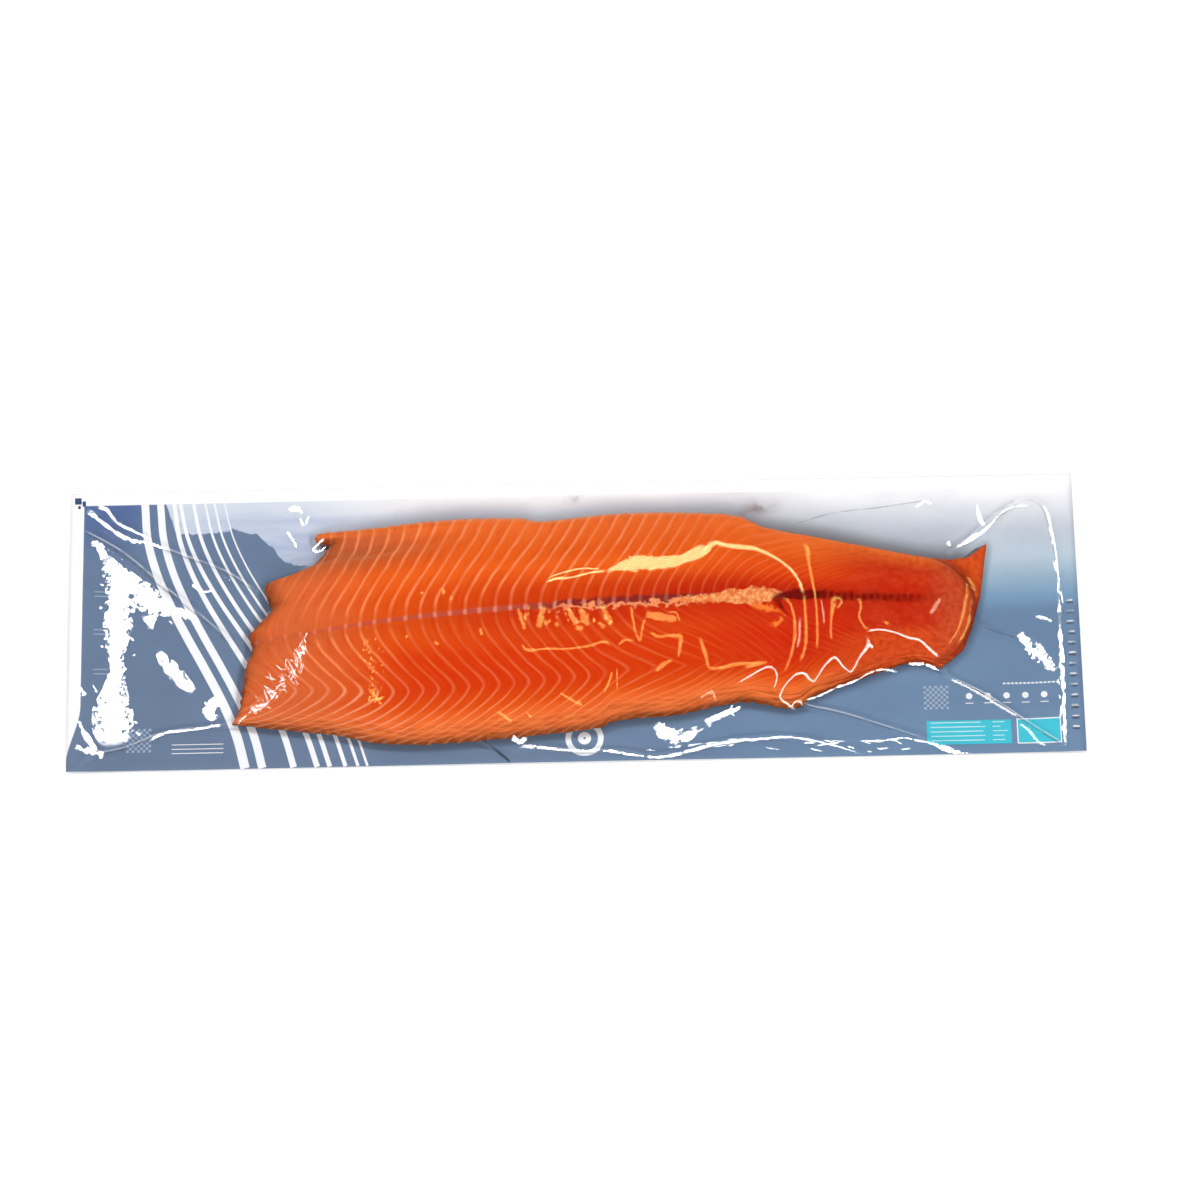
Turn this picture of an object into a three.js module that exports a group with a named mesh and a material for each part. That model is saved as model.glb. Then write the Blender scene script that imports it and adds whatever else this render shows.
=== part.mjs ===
// A frozen salmon fillet, vacuum-packed between a printed backing film and a clear top film.
// Millimetres, +Z up. The pack lies on its backing film, with the flesh side of the fillet up.
// +X runs along the fillet from its head end to its tail, and +Y points to the edge of its back.
// The origin is under the middle of the pack, on the surface that it lies on.
import * as THREE from "three";

// The two films, which reach the same outline and are welded along it.
const PACK_LENGTH = 650;
const PACK_WIDTH = 189;
const BACKING_THICKNESS = 0.6;
const CLEAR_THICKNESS = 0.4;
const GAP = 0.35; // between pieces that touch

// The margins curl up where no fillet holds them down.
const FAR_CURL = { start: 76, height: 6, wave: 0.3, pitch: 105 };
const NEAR_CURL = { start: 84.5, height: 1.6, wave: 0.6, pitch: 60 };
const END_CURL = { start: 288, height: 3.4, wave: 0.35, pitch: 34 };

// The fillet's outline, seen from above: stations [x, y] along its two edges and its midline.
const BACK_EDGE = [
  [-168, 62], [-137, 64], [-85, 70], [-33, 70], [-21, 67.5], [31, 72], [83, 71.5],
  [109, 68.5], [124, 61], [155, 54], [216, 41], [236, 38], [255, 39], [268, 48],
];
const BELLY_EDGE = [
  [-220, -66], [-191, -69.5], [-150, -75], [-128, -80], [-100, -82], [-61, -80], [15, -73], [24, -69],
  [67, -65], [106, -58], [141, -62.5], [153, -55], [182, -44], [203, -37], [218, -33.5], [234, -37.5],
];
const MIDLINE = [
  [-215, -14], [-175, -10], [-117, -3], [-38, 3], [66, 7], [134, 9.5], [204, 8], [262, 7],
];

// The fillet's ragged head end and cut tail end: stations [share, x], where the share runs across the
// fillet from -1 at the belly's edge, through 0 on the midline, to 1 at the edge of the back.
const HEAD_END = [
  [-1, -220], [-0.75, -215], [-0.29, -212], [-0.04, -207], [0.1, -210], [0.18, -203], [0.3, -195],
  [0.41, -198], [0.52, -200], [0.56, -188], [0.66, -170], [0.81, -160], [0.89, -157], [0.94, -167],
  [1, -166],
];
const TAIL_END = [[-1, 234], [-0.89, 241], [-0.71, 250], [-0.38, 256], [0.1, 262], [0.74, 266], [1, 268]];

// The fillet's thickness along its length, as stations [x, thickness], and its shape across.
const THICKNESS = [
  [-220, 15], [-190, 19], [-140, 25], [-70, 28], [30, 28], [100, 25], [160, 20], [215, 15], [268, 10],
];
const LOBES = [
  [-1, 0.42], [-0.8, 0.56], [-0.55, 0.76], [-0.3, 0.87], [-0.1, 0.84], [0, 0.78],
  [0.08, 0.86], [0.22, 0.96], [0.42, 1], [0.7, 0.86], [1, 0.62],
];
const RIM_HEIGHT = 2.4; // of the flesh's lower edge, above the backing film
const SKIN_LIFT = 1.1; // of the skin at the outline, where it leaves the backing film
const SIDE_ROUNDING = 0.14; // of the half width
const SKIN_ROUNDING = 0.06;
const HEAD_ROUNDING = 17;
const TAIL_ROUNDING = 5;

// Beside the edge of the back, the flesh near the head end sinks into a channel behind a raised rim.
const CHANNEL = { share: 0.76, spread: 0.13, depth: 6.5, from: -58, to: -120 };

// The flesh of the tail ends in a rounded dome, and only the thin tail stalk goes on past it.
const TAIL_DOME = { x: 196, y: 2, length: 62.5, halfWidth: 44, roundness: 2.1, ramp: 0.16, fade: 34 };
const STALK_HEIGHT = 4.6;

// Where the meshes have their lines across and along the fillet.
const SHARES = [
  -1, -0.97, -0.91, -0.75, -0.52, -0.29, -0.13, -0.04, 0.04, 0.1, 0.18,
  0.3, 0.41, 0.52, 0.56, 0.66, 0.81, 0.89, 0.94, 0.98, 1,
];
const END_STEPS = [0, 0.006, 0.016, 0.032, 0.055];
const BODY_STEPS = 32;
const SKIRT = 5; // the clear film comes down over this width, beside the fillet
const RINGS = [0, 0.38, 0.68, 0.88, 1]; // from the skirt to the pack's edge

const clamp01 = (v) => Math.min(Math.max(v, 0), 1);
const smooth = (from, to, v) => THREE.MathUtils.smoothstep(clamp01((v - from) / (to - from)), 0, 1);
const quarterRound = (v) => Math.sqrt(1 - (1 - clamp01(v)) ** 2);

// The piece of a list of stations that holds v, and how far v is along it.
function locate(stations, v) {
  const last = stations.length - 2;
  let i = 0;
  while (i < last && stations[i + 1][0] < v) i++;
  return [i, clamp01((v - stations[i][0]) / (stations[i + 1][0] - stations[i][0]))];
}

// Straight lines through the stations.
function straight(stations) {
  return (v) => {
    const [i, t] = locate(stations, v);
    return THREE.MathUtils.lerp(stations[i][1], stations[i + 1][1], t);
  };
}

// A smooth curve through the stations, of cubic pieces that share their slopes.
function curved(stations) {
  const slope = (i) => {
    const before = stations[Math.max(i - 1, 0)];
    const after = stations[Math.min(i + 1, stations.length - 1)];
    return (after[1] - before[1]) / (after[0] - before[0]);
  };
  return (v) => {
    const [i, t] = locate(stations, v);
    const [[x0, y0], [x1, y1]] = [stations[i], stations[i + 1]];
    const run = x1 - x0;
    const ends = y0 * (1 + 2 * t) * (1 - t) ** 2 + y1 * t * t * (3 - 2 * t);
    return ends + run * (slope(i) * t * (1 - t) ** 2 - slope(i + 1) * t * t * (1 - t));
  };
}

const backEdge = curved(BACK_EDGE);
const bellyEdge = curved(BELLY_EDGE);
const midline = curved(MIDLINE);
const headEnd = straight(HEAD_END);
const tailEnd = straight(TAIL_END);
const thickness = curved(THICKNESS);
const lobes = curved(LOBES);

// A point of the fillet: its length share runs from 0 at the head end to 1 at the tail.
function filletPoint(along, share) {
  const x = THREE.MathUtils.lerp(headEnd(share), tailEnd(share), along);
  const edge = share > 0 ? backEdge(x) : bellyEdge(x);
  const y = THREE.MathUtils.lerp(midline(x), edge, Math.abs(share));
  return { x, y, along, share };
}

// Lower the flesh from the tail's dome to the thin stalk around it.
function tailHeight(x, y, height) {
  if (x < TAIL_DOME.x) return height;
  const across = Math.abs(y - TAIL_DOME.y) / TAIL_DOME.halfWidth;
  const past = (x - TAIL_DOME.x) / TAIL_DOME.length;
  const reach = (past ** TAIL_DOME.roundness + across ** TAIL_DOME.roundness) ** (1 / TAIL_DOME.roundness);
  const inside = quarterRound((1 - reach) / TAIL_DOME.ramp);
  const lowered = Math.min(height, THREE.MathUtils.lerp(STALK_HEIGHT, height, inside));
  return THREE.MathUtils.lerp(height, lowered, smooth(TAIL_DOME.x, TAIL_DOME.x + TAIL_DOME.fade, x));
}

const SKIN_LEVEL = BACKING_THICKNESS + GAP;

function fleshTop({ x, y, along, share }) {
  const length = tailEnd(share) - headEnd(share);
  const side = quarterRound((1 - Math.abs(share)) / SIDE_ROUNDING);
  const head = quarterRound((along * length) / HEAD_ROUNDING);
  const tail = quarterRound(((1 - along) * length) / TAIL_ROUNDING);
  const acrossChannel = Math.exp(-(((share - CHANNEL.share) / CHANNEL.spread) ** 2));
  const channel = CHANNEL.depth * acrossChannel * smooth(CHANNEL.from, CHANNEL.to, x);
  const full = tailHeight(x, y, thickness(x) * lobes(share) - channel);
  return SKIN_LEVEL + RIM_HEIGHT + (full - RIM_HEIGHT) * side * head * tail;
}

function skinBottom({ share, along }) {
  const inward = Math.min(1 - Math.abs(share), along, 1 - along);
  return SKIN_LEVEL + SKIN_LIFT * (1 - quarterRound(inward / SKIN_ROUNDING));
}

// How far the margins of the pack rise from the surface that it lies on.
function curl(x, y) {
  const rise = ({ start, height, wave, pitch }, reach, edge, at) =>
    height * smooth(start, edge, reach) * (1 - wave / 2 + (wave / 2) * Math.cos(at / pitch));
  const sides = rise(FAR_CURL, y, PACK_WIDTH / 2, x) + rise(NEAR_CURL, -y, PACK_WIDTH / 2, x);
  return Math.max(sides, rise(END_CURL, Math.abs(x), PACK_LENGTH / 2, y));
}

// The grid of points over the fillet, and the loop of its outline, anticlockwise from the belly's head end.
function filletGrid() {
  const body = Array.from({ length: BODY_STEPS - 1 }, (_, i) =>
    THREE.MathUtils.lerp(END_STEPS.at(-1), 1 - END_STEPS.at(-1), (i + 1) / BODY_STEPS),
  );
  const alongs = [...END_STEPS, ...body, ...END_STEPS.map((v) => 1 - v).reverse()];
  const rows = SHARES.length;
  const columns = alongs.length;
  const points = alongs.flatMap((along) => SHARES.map((share) => filletPoint(along, share)));
  const triangles = [];
  for (let i = 0; i < columns - 1; i++)
    for (let j = 0; j < rows - 1; j++) {
      const [a, b, c, d] = [i * rows + j, (i + 1) * rows + j, (i + 1) * rows + j + 1, i * rows + j + 1];
      triangles.push([a, b, c], [a, c, d]);
    }
  const loop = [];
  for (let i = 0; i < columns - 1; i++) loop.push(i * rows);
  for (let j = 0; j < rows - 1; j++) loop.push((columns - 1) * rows + j);
  for (let i = columns - 1; i > 0; i--) loop.push(i * rows + rows - 1);
  for (let j = rows - 1; j > 0; j--) loop.push(j);
  return { points, triangles, loop };
}

// The point of the pack's edge that faces a point of the fillet's outline.
function packEdgePoint({ along, share }) {
  const [halfLength, halfWidth] = [PACK_LENGTH / 2, PACK_WIDTH / 2];
  if (Math.abs(share) === 1) return { x: (2 * along - 1) * halfLength, y: share * halfWidth };
  return { x: along === 0 ? -halfLength : halfLength, y: share * halfWidth };
}

// Rings of points from the fillet's outline to the pack's edge, added to a grid's points and triangles.
function addMargin({ points, triangles, loop }) {
  const all = [...points];
  const faces = [...triangles];
  let inner = loop;
  for (const ring of RINGS) {
    const outer = loop.map((index) => {
      const from = points[index];
      const to = packEdgePoint(from);
      const skirt = SKIRT / Math.hypot(to.x - from.x, to.y - from.y);
      const t = skirt + (1 - skirt) * ring;
      all.push({ x: from.x + (to.x - from.x) * t, y: from.y + (to.y - from.y) * t });
      return all.length - 1;
    });
    outer.forEach((corner, n) => {
      const next = (n + 1) % outer.length;
      faces.push([inner[n], corner, outer[next]], [inner[n], outer[next], inner[next]]);
    });
    inner = outer;
  }
  return { points: all, triangles: faces, loop: inner };
}

// The closed body between two heights over the same points, with a wall along its rim.
function solidBetween({ points, triangles, loop }, lower, upper) {
  const count = points.length;
  const corners = [...points.map((p) => [p.x, p.y, lower(p)]), ...points.map((p) => [p.x, p.y, upper(p)])];
  const faces = triangles.flatMap(([a, b, c]) => [
    [a + count, b + count, c + count],
    [c, b, a],
  ]);
  loop.forEach((from, n) => {
    const to = loop[(n + 1) % loop.length];
    faces.push([from, to, to + count], [from, to + count, from + count]);
  });
  return new THREE.BufferGeometry()
    .setAttribute("position", new THREE.Float32BufferAttribute(corners.flat(), 3))
    .setIndex(faces.flat());
}

// The points of the outline alone, joined by as few triangles as a flat sheet under the fillet needs.
function outlineOnly({ points, loop }) {
  const outline = loop.map((index) => points[index]);
  const triangles = THREE.ShapeUtils.triangulateShape(
    outline.map(({ x, y }) => new THREE.Vector2(x, y)),
    [],
  );
  return { points: outline, triangles, loop: outline.map((_, n) => n) };
}

function piece(name, geometry, material) {
  geometry.computeVertexNormals();
  const mesh = new THREE.Mesh(geometry, material);
  mesh.name = name;
  return mesh;
}

const overFillet = filletGrid();
const overPack = addMargin(overFillet);
const underPack = addMargin(outlineOnly(overFillet));

// The clear film lies on the flesh inside the outline, and beside it comes down to the backing film.
function clearFilmBottom(point) {
  const resting = BACKING_THICKNESS + curl(point.x, point.y);
  return GAP + (point.share === undefined ? resting : fleshTop(point));
}

const backingFilm = piece(
  "backing_film",
  solidBetween(
    underPack,
    ({ x, y }) => curl(x, y),
    ({ x, y }) => curl(x, y) + BACKING_THICKNESS,
  ),
  new THREE.MeshStandardMaterial({ color: 0x6c82a6, roughness: 0.3, metalness: 0 }),
);

const salmonFillet = piece(
  "salmon_fillet",
  solidBetween(overFillet, skinBottom, fleshTop),
  new THREE.MeshStandardMaterial({ color: 0xe2551c, roughness: 0.45, metalness: 0 }),
);

const clearFilm = piece(
  "clear_film",
  solidBetween(overPack, clearFilmBottom, (point) => clearFilmBottom(point) + CLEAR_THICKNESS),
  new THREE.MeshStandardMaterial({
    color: 0xf4f6f8,
    roughness: 0.1,
    metalness: 0,
    transparent: true,
    opacity: 0.2,
  }),
);

const pack = new THREE.Group();
pack.add(backingFilm, salmonFillet, clearFilm);

export default pack;
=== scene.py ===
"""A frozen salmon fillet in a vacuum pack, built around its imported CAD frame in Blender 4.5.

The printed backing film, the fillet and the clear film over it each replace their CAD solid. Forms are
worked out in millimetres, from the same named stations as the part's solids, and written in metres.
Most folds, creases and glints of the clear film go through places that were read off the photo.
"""
import math

import bpy
import numpy as np
from mathutils import Matrix, Vector


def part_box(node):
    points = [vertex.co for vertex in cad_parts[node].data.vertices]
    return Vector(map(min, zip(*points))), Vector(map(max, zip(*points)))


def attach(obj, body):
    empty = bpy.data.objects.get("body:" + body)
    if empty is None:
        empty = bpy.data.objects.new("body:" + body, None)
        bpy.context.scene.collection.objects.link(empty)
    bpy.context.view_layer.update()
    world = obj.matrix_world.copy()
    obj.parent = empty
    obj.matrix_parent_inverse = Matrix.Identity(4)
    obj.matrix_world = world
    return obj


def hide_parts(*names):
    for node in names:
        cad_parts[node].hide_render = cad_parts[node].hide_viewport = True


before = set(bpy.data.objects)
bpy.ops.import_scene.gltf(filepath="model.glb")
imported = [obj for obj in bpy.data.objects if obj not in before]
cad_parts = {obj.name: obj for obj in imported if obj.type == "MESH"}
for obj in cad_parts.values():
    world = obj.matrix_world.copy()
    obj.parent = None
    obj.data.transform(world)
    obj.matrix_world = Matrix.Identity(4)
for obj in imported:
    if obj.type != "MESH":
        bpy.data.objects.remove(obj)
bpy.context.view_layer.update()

MM = 0.001
draw = np.random.default_rng(20)

# ---------------------------------------------------------------------------------------------
# The pack's form, as in the CAD but for the fillet's edge by the flap, which lies up to 2 mm off
# ---------------------------------------------------------------------------------------------

low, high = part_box("backing_film")
HALF_LENGTH = (high.x - low.x) / 2 / MM
HALF_WIDTH = (high.y - low.y) / 2 / MM
BACKING_THICKNESS = 0.6
GAP = 0.35

FAR_CURL = {"start": 76, "height": 6, "wave": 0.3, "pitch": 105}
NEAR_CURL = {"start": 84.5, "height": 1.6, "wave": 0.6, "pitch": 60}
END_CURL = {"start": 288, "height": 3.4, "wave": 0.35, "pitch": 34}

BACK_EDGE = [
    (-168, 64), (-137, 65), (-85, 70), (-33, 70), (-21, 67.5), (31, 72), (83, 71.5),
    (109, 68.5), (124, 61), (155, 54), (216, 41), (236, 38), (255, 39), (268, 48),
]
BELLY_EDGE = [
    (-220, -66), (-191, -69.5), (-150, -75), (-128, -80), (-100, -82), (-61, -80), (15, -73),
    (24, -69), (67, -65), (106, -58), (141, -62.5), (153, -55), (182, -44), (203, -37),
    (218, -33.5), (234, -37.5),
]
MIDLINE = [(-215, -14), (-175, -10), (-117, -3), (-38, 3), (66, 7), (134, 9.5), (204, 8), (262, 7)]
HEAD_END = [
    (-1, -220), (-0.75, -215), (-0.29, -212), (-0.04, -207), (0.1, -210), (0.18, -203),
    (0.3, -195), (0.41, -198), (0.52, -200), (0.56, -188), (0.66, -170), (0.81, -160),
    (0.875, -157), (0.9, -165.5), (0.95, -168.5), (1, -165.5),
]
TAIL_END = [(-1, 234), (-0.89, 241), (-0.71, 250), (-0.38, 256), (0.1, 262), (0.74, 266), (1, 268)]
THICKNESS = [
    (-220, 15), (-190, 19), (-140, 25), (-70, 28), (30, 28), (100, 25), (160, 20), (215, 15), (268, 10),
]
LOBES = [
    (-1, 0.42), (-0.8, 0.56), (-0.55, 0.76), (-0.3, 0.87), (-0.1, 0.84), (0, 0.78),
    (0.08, 0.86), (0.22, 0.96), (0.42, 1), (0.7, 0.86), (1, 0.62),
]
RIM_HEIGHT = 2.4
SKIN_LIFT = 1.1
SKIN_ROUNDING = 0.06
SIDE_ROUNDING = 0.14
HEAD_ROUNDING = 17
TAIL_ROUNDING = 5
CHANNEL = {"share": 0.76, "spread": 0.13, "depth": 6.5, "start": -58, "full": -120}
TAIL_DOME = {"x": 196, "y": 2, "length": 62.5, "half_width": 44, "roundness": 2.1, "ramp": 0.16, "fade": 34}
STALK_HEIGHT = 4.6
SKIN_LEVEL = BACKING_THICKNESS + GAP


def smooth(start, full, value):
    """0 before start, 1 after full, and a soft step between them."""
    t = np.clip((value - start) / (full - start), 0, 1)
    return t * t * (3 - 2 * t)


def quarter_round(value):
    return np.sqrt(1 - (1 - np.clip(value, 0, 1)) ** 2)


def straight(stations):
    """Straight lines through the stations."""
    at, values = np.array(stations, float).T
    return lambda v: np.interp(v, at, values)


def curved(stations):
    """A smooth curve through the stations, of cubic pieces that share their slopes."""
    at, values = np.array(stations, float).T
    last = len(at) - 1
    before = np.maximum(np.arange(last + 1) - 1, 0)
    after = np.minimum(np.arange(last + 1) + 1, last)
    slopes = (values[after] - values[before]) / (at[after] - at[before])

    def curve(v):
        v = np.asarray(v, float)
        i = np.clip(np.searchsorted(at, v) - 1, 0, last - 1)
        run = at[i + 1] - at[i]
        t = np.clip((v - at[i]) / run, 0, 1)
        ends = values[i] * (1 + 2 * t) * (1 - t) ** 2 + values[i + 1] * t * t * (3 - 2 * t)
        return ends + run * (slopes[i] * t * (1 - t) ** 2 - slopes[i + 1] * t * t * (1 - t))

    return curve


back_edge = curved(BACK_EDGE)
belly_edge = curved(BELLY_EDGE)
midline = curved(MIDLINE)
head_end = straight(HEAD_END)
tail_end = straight(TAIL_END)
thickness = curved(THICKNESS)
lobes = curved(LOBES)


def fillet_place(along, share):
    """Where a share of the fillet's length and of its half width lies."""
    x = head_end(share) + (tail_end(share) - head_end(share)) * along
    edge = np.where(share > 0, back_edge(x), belly_edge(x))
    return x, midline(x) + (edge - midline(x)) * np.abs(share)


def fillet_shares(x, y):
    """The inverse of fillet_place: the shares of a place, and whether it is on the fillet."""
    edge = np.where(y > midline(x), back_edge(x), belly_edge(x))
    share = (y - midline(x)) / np.abs(edge - midline(x))
    held = np.clip(share, -1, 1)
    along = (x - head_end(held)) / (tail_end(held) - head_end(held))
    inside = (np.abs(share) <= 1) & (along >= 0) & (along <= 1)
    return np.clip(along, 0, 1), held, inside


def dome_reach(x, y):
    """How far out a place lies on the tail's dome: 0 at its middle, 1 at its foot."""
    across = np.abs(y - TAIL_DOME["y"]) / TAIL_DOME["half_width"]
    past = np.maximum(x - TAIL_DOME["x"], 0) / TAIL_DOME["length"]
    power = TAIL_DOME["roundness"]
    return (past ** power + across ** power) ** (1 / power)


def tail_height(x, y, height):
    """The flesh's height, lowered from the tail's dome to the thin stalk around it."""
    inside = quarter_round((1 - dome_reach(x, y)) / TAIL_DOME["ramp"])
    lowered = np.minimum(height, STALK_HEIGHT + (height - STALK_HEIGHT) * inside)
    return height + (lowered - height) * smooth(TAIL_DOME["x"], TAIL_DOME["x"] + TAIL_DOME["fade"], x)


def flesh_top(x, y, along, share):
    length = tail_end(share) - head_end(share)
    side = quarter_round((1 - np.abs(share)) / SIDE_ROUNDING)
    head = quarter_round(along * length / HEAD_ROUNDING)
    tail = quarter_round((1 - along) * length / TAIL_ROUNDING)
    across_channel = np.exp(-(((share - CHANNEL["share"]) / CHANNEL["spread"]) ** 2))
    channel = CHANNEL["depth"] * across_channel * smooth(CHANNEL["start"], CHANNEL["full"], x)
    full = tail_height(x, y, thickness(x) * lobes(share) - channel)
    return SKIN_LEVEL + RIM_HEIGHT + (full - RIM_HEIGHT) * side * head * tail


def curl(x, y):
    """How far the margins of the pack rise from the floor."""

    def rise(margin, reach, edge, at):
        swing = 1 - margin["wave"] / 2 + margin["wave"] / 2 * np.cos(at / margin["pitch"])
        return margin["height"] * smooth(margin["start"], edge, reach) * swing

    sides = rise(FAR_CURL, y, HALF_WIDTH, x) + rise(NEAR_CURL, -y, HALF_WIDTH, x)
    return np.maximum(sides, rise(END_CURL, np.abs(x), HALF_LENGTH, y))


def waves(x, y, length, count=9, stretch=1.0):
    """A seeded, even mix of long ripples, between about -1 and 1."""
    total = np.zeros(np.broadcast(x, y).shape)
    for _ in range(count):
        heading = draw.uniform(0, math.tau)
        pitch = length * draw.uniform(0.7, 1.5)
        turn = math.tau / pitch * (x * math.cos(heading) / stretch + y * math.sin(heading))
        total += np.sin(turn + draw.uniform(0, math.tau))
    return total / math.sqrt(count)


# ---------------------------------------------------------------------------------------------
# Making pieces
# ---------------------------------------------------------------------------------------------


def make_piece(name, points, faces, materials, replaces=None, facts=None, face_materials=None):
    """A mesh of points in millimetres, with facts that its material reads, riding on the pack."""
    mesh = bpy.data.meshes.new(name)
    mesh.from_pydata((np.asarray(points, float) * MM).tolist(), [], faces)
    for material in materials:
        mesh.materials.append(material)
    if face_materials is not None:
        mesh.polygons.foreach_set("material_index", np.asarray(face_materials, np.int32))
    mesh.polygons.foreach_set("use_smooth", np.ones(len(mesh.polygons), bool))
    for fact, values in (facts or {}).items():
        values = np.asarray(values, np.float32).ravel()
        if len(values) == 3 * len(points):
            mesh.attributes.new(fact, "FLOAT_VECTOR", "POINT").data.foreach_set("vector", values)
        else:
            mesh.attributes.new(fact, "FLOAT", "POINT").data.foreach_set("value", values)
    mesh.update()
    piece = bpy.data.objects.new(name, mesh)
    bpy.context.scene.collection.objects.link(piece)
    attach(piece, "root")
    if replaces:
        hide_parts(replaces)
    return piece


def grid_faces(rows, columns, start=0, flip=False):
    """Quads over a grid of points that is stored row by row."""
    corner = (np.arange(rows - 1)[:, None] * columns + np.arange(columns - 1)[None, :]).ravel() + start
    quads = np.stack([corner, corner + 1, corner + columns + 1, corner + columns], 1)
    return (quads[:, ::-1] if flip else quads).tolist()


def grid_rim(rows, columns):
    """The loop of a grid's outer points, anticlockwise."""
    bottom = np.arange(columns - 1)
    right = np.arange(rows - 1) * columns + columns - 1
    top = (rows - 1) * columns + np.arange(columns - 1, 0, -1)
    left = np.arange(rows - 1, 0, -1) * columns
    return np.concatenate([bottom, right, top, left])


# ---------------------------------------------------------------------------------------------
# Making materials
# ---------------------------------------------------------------------------------------------

# What a white surface gives back under the clear film, and what the film's own gloss adds over it.
PRINT_LIGHT, PRINT_VEIL = (1.16, 1.17, 1.18), (0.012, 0.012, 0.012)
FLESH_LIGHT, FLESH_VEIL = (1.25, 1.15, 1.05), (0.012, 0.014, 0.009)
FLESH_GLOSS = (1, 0.8, 0.5, 1)  # the film's gloss over the flesh
GOLD_GLINT = (1, 0.66, 0.16, 1)


def paint(red, green, blue, light=PRINT_LIGHT, veil=PRINT_VEIL):
    """The surface colour that comes out as this red, green and blue, of 255, under the clear film."""

    def linear(v):
        v = v / 255
        return v / 12.92 if v <= 0.04045 else ((v + 0.055) / 1.055) ** 2.4

    shown = zip((red, green, blue), light, veil)
    return tuple(min(max((linear(v) - over) / lit, 0.001), 1) for v, lit, over in shown) + (1,)


def flesh(red, green, blue):
    return paint(red, green, blue, FLESH_LIGHT, FLESH_VEIL)


class Nodes:
    """A node tree under construction, with short calls for the nodes that the finishes share."""

    def __init__(self, tree):
        self.tree = tree

    def put(self, socket, value):
        if isinstance(value, bpy.types.NodeSocket):
            self.tree.links.new(value, socket)
        elif value is not None:
            socket.default_value = value

    def add(self, kind, **settings):
        node = self.tree.nodes.new(kind)
        for key, value in settings.items():
            setattr(node, key, value)
        return node

    def maths(self, operation, a, b=None, clamp=False):
        node = self.add("ShaderNodeMath", operation=operation, use_clamp=clamp)
        self.put(node.inputs[0], a)
        self.put(node.inputs[1], b)
        return node.outputs[0]

    def step(self, value, start, full, low=0.0, high=1.0):
        """low before start, high after full, and a soft step between them."""
        node = self.add("ShaderNodeMapRange", interpolation_type="SMOOTHSTEP")
        for socket, setting in zip(node.inputs[:5], (value, start, full, low, high)):
            self.put(socket, setting)
        return node.outputs[0]

    def band(self, value, start, full, fade, end):
        """0 outside start and end, and 1 between full and fade."""
        return self.maths("MULTIPLY", self.step(value, start, full), self.step(value, end, fade))

    def product(self, *values):
        total = values[0]
        for value in values[1:]:
            total = self.maths("MULTIPLY", total, value)
        return total

    def mix(self, share, a, b, blend="MIX"):
        node = self.add("ShaderNodeMix", data_type="RGBA", blend_type=blend)
        for socket, setting in zip((node.inputs[0], node.inputs[6], node.inputs[7]), (share, a, b)):
            self.put(socket, setting)
        return node.outputs[2]

    def fact(self, name, vector=False):
        node = self.add("ShaderNodeAttribute", attribute_name=name)
        return node.outputs["Vector" if vector else "Fac"]

    def place(self, stretch=(1, 1, 1)):
        """The place on the piece in metres, stretched."""
        where = self.add("ShaderNodeTexCoord").outputs["Object"]
        node = self.add("ShaderNodeVectorMath", operation="MULTIPLY")
        self.put(node.inputs[0], where)
        self.put(node.inputs[1], stretch)
        return node.outputs[0]

    def noise(self, per_metre, detail=2.0, rough=0.5, stretch=(1, 1, 1), swirl=0.0, where=None):
        node = self.add("ShaderNodeTexNoise")
        self.put(node.inputs["Vector"], where or self.place(stretch))
        settings = {"Scale": per_metre, "Detail": detail, "Roughness": rough, "Distortion": swirl}
        for name, value in settings.items():
            self.put(node.inputs[name], value)
        return node.outputs["Fac"]

    def group(self, tree, **settings):
        node = self.add("ShaderNodeGroup", node_tree=tree)
        for name, value in settings.items():
            self.put(node.inputs[name], value)
        return node


def new_material(name):
    material = bpy.data.materials.new(name)
    material.use_nodes = True
    material.node_tree.nodes.clear()
    return material, Nodes(material.node_tree)


def new_group(name, inputs, outputs):
    """A node group with sockets of these names, and its input and output nodes."""
    tree = bpy.data.node_groups.new(name, "ShaderNodeTree")
    for label, kind in inputs:
        tree.interface.new_socket(label, in_out="INPUT", socket_type=kind)
    for label, kind in outputs:
        tree.interface.new_socket(label, in_out="OUTPUT", socket_type=kind)
    nodes = Nodes(tree)
    return tree, nodes, nodes.add("NodeGroupInput"), nodes.add("NodeGroupOutput")


def finish_principled(nodes, colour, roughness, height=None, bump=0.1, reach=0.0002, **constants):
    """The end of an opaque finish: a Principled shader, its bump and the output."""
    shader = nodes.add("ShaderNodeBsdfPrincipled")
    nodes.put(shader.inputs["Base Color"], colour)
    nodes.put(shader.inputs["Roughness"], roughness)
    for name, value in constants.items():
        nodes.put(shader.inputs[name.replace("_", " ")], value)
    if height is not None:
        relief = nodes.add("ShaderNodeBump")
        nodes.put(relief.inputs["Strength"], bump)
        nodes.put(relief.inputs["Distance"], reach)
        nodes.put(relief.inputs["Height"], height)
        nodes.put(shader.inputs["Normal"], relief.outputs[0])
    output = nodes.add("ShaderNodeOutputMaterial")
    nodes.put(output.inputs["Surface"], shader.outputs[0])
    return shader


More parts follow.
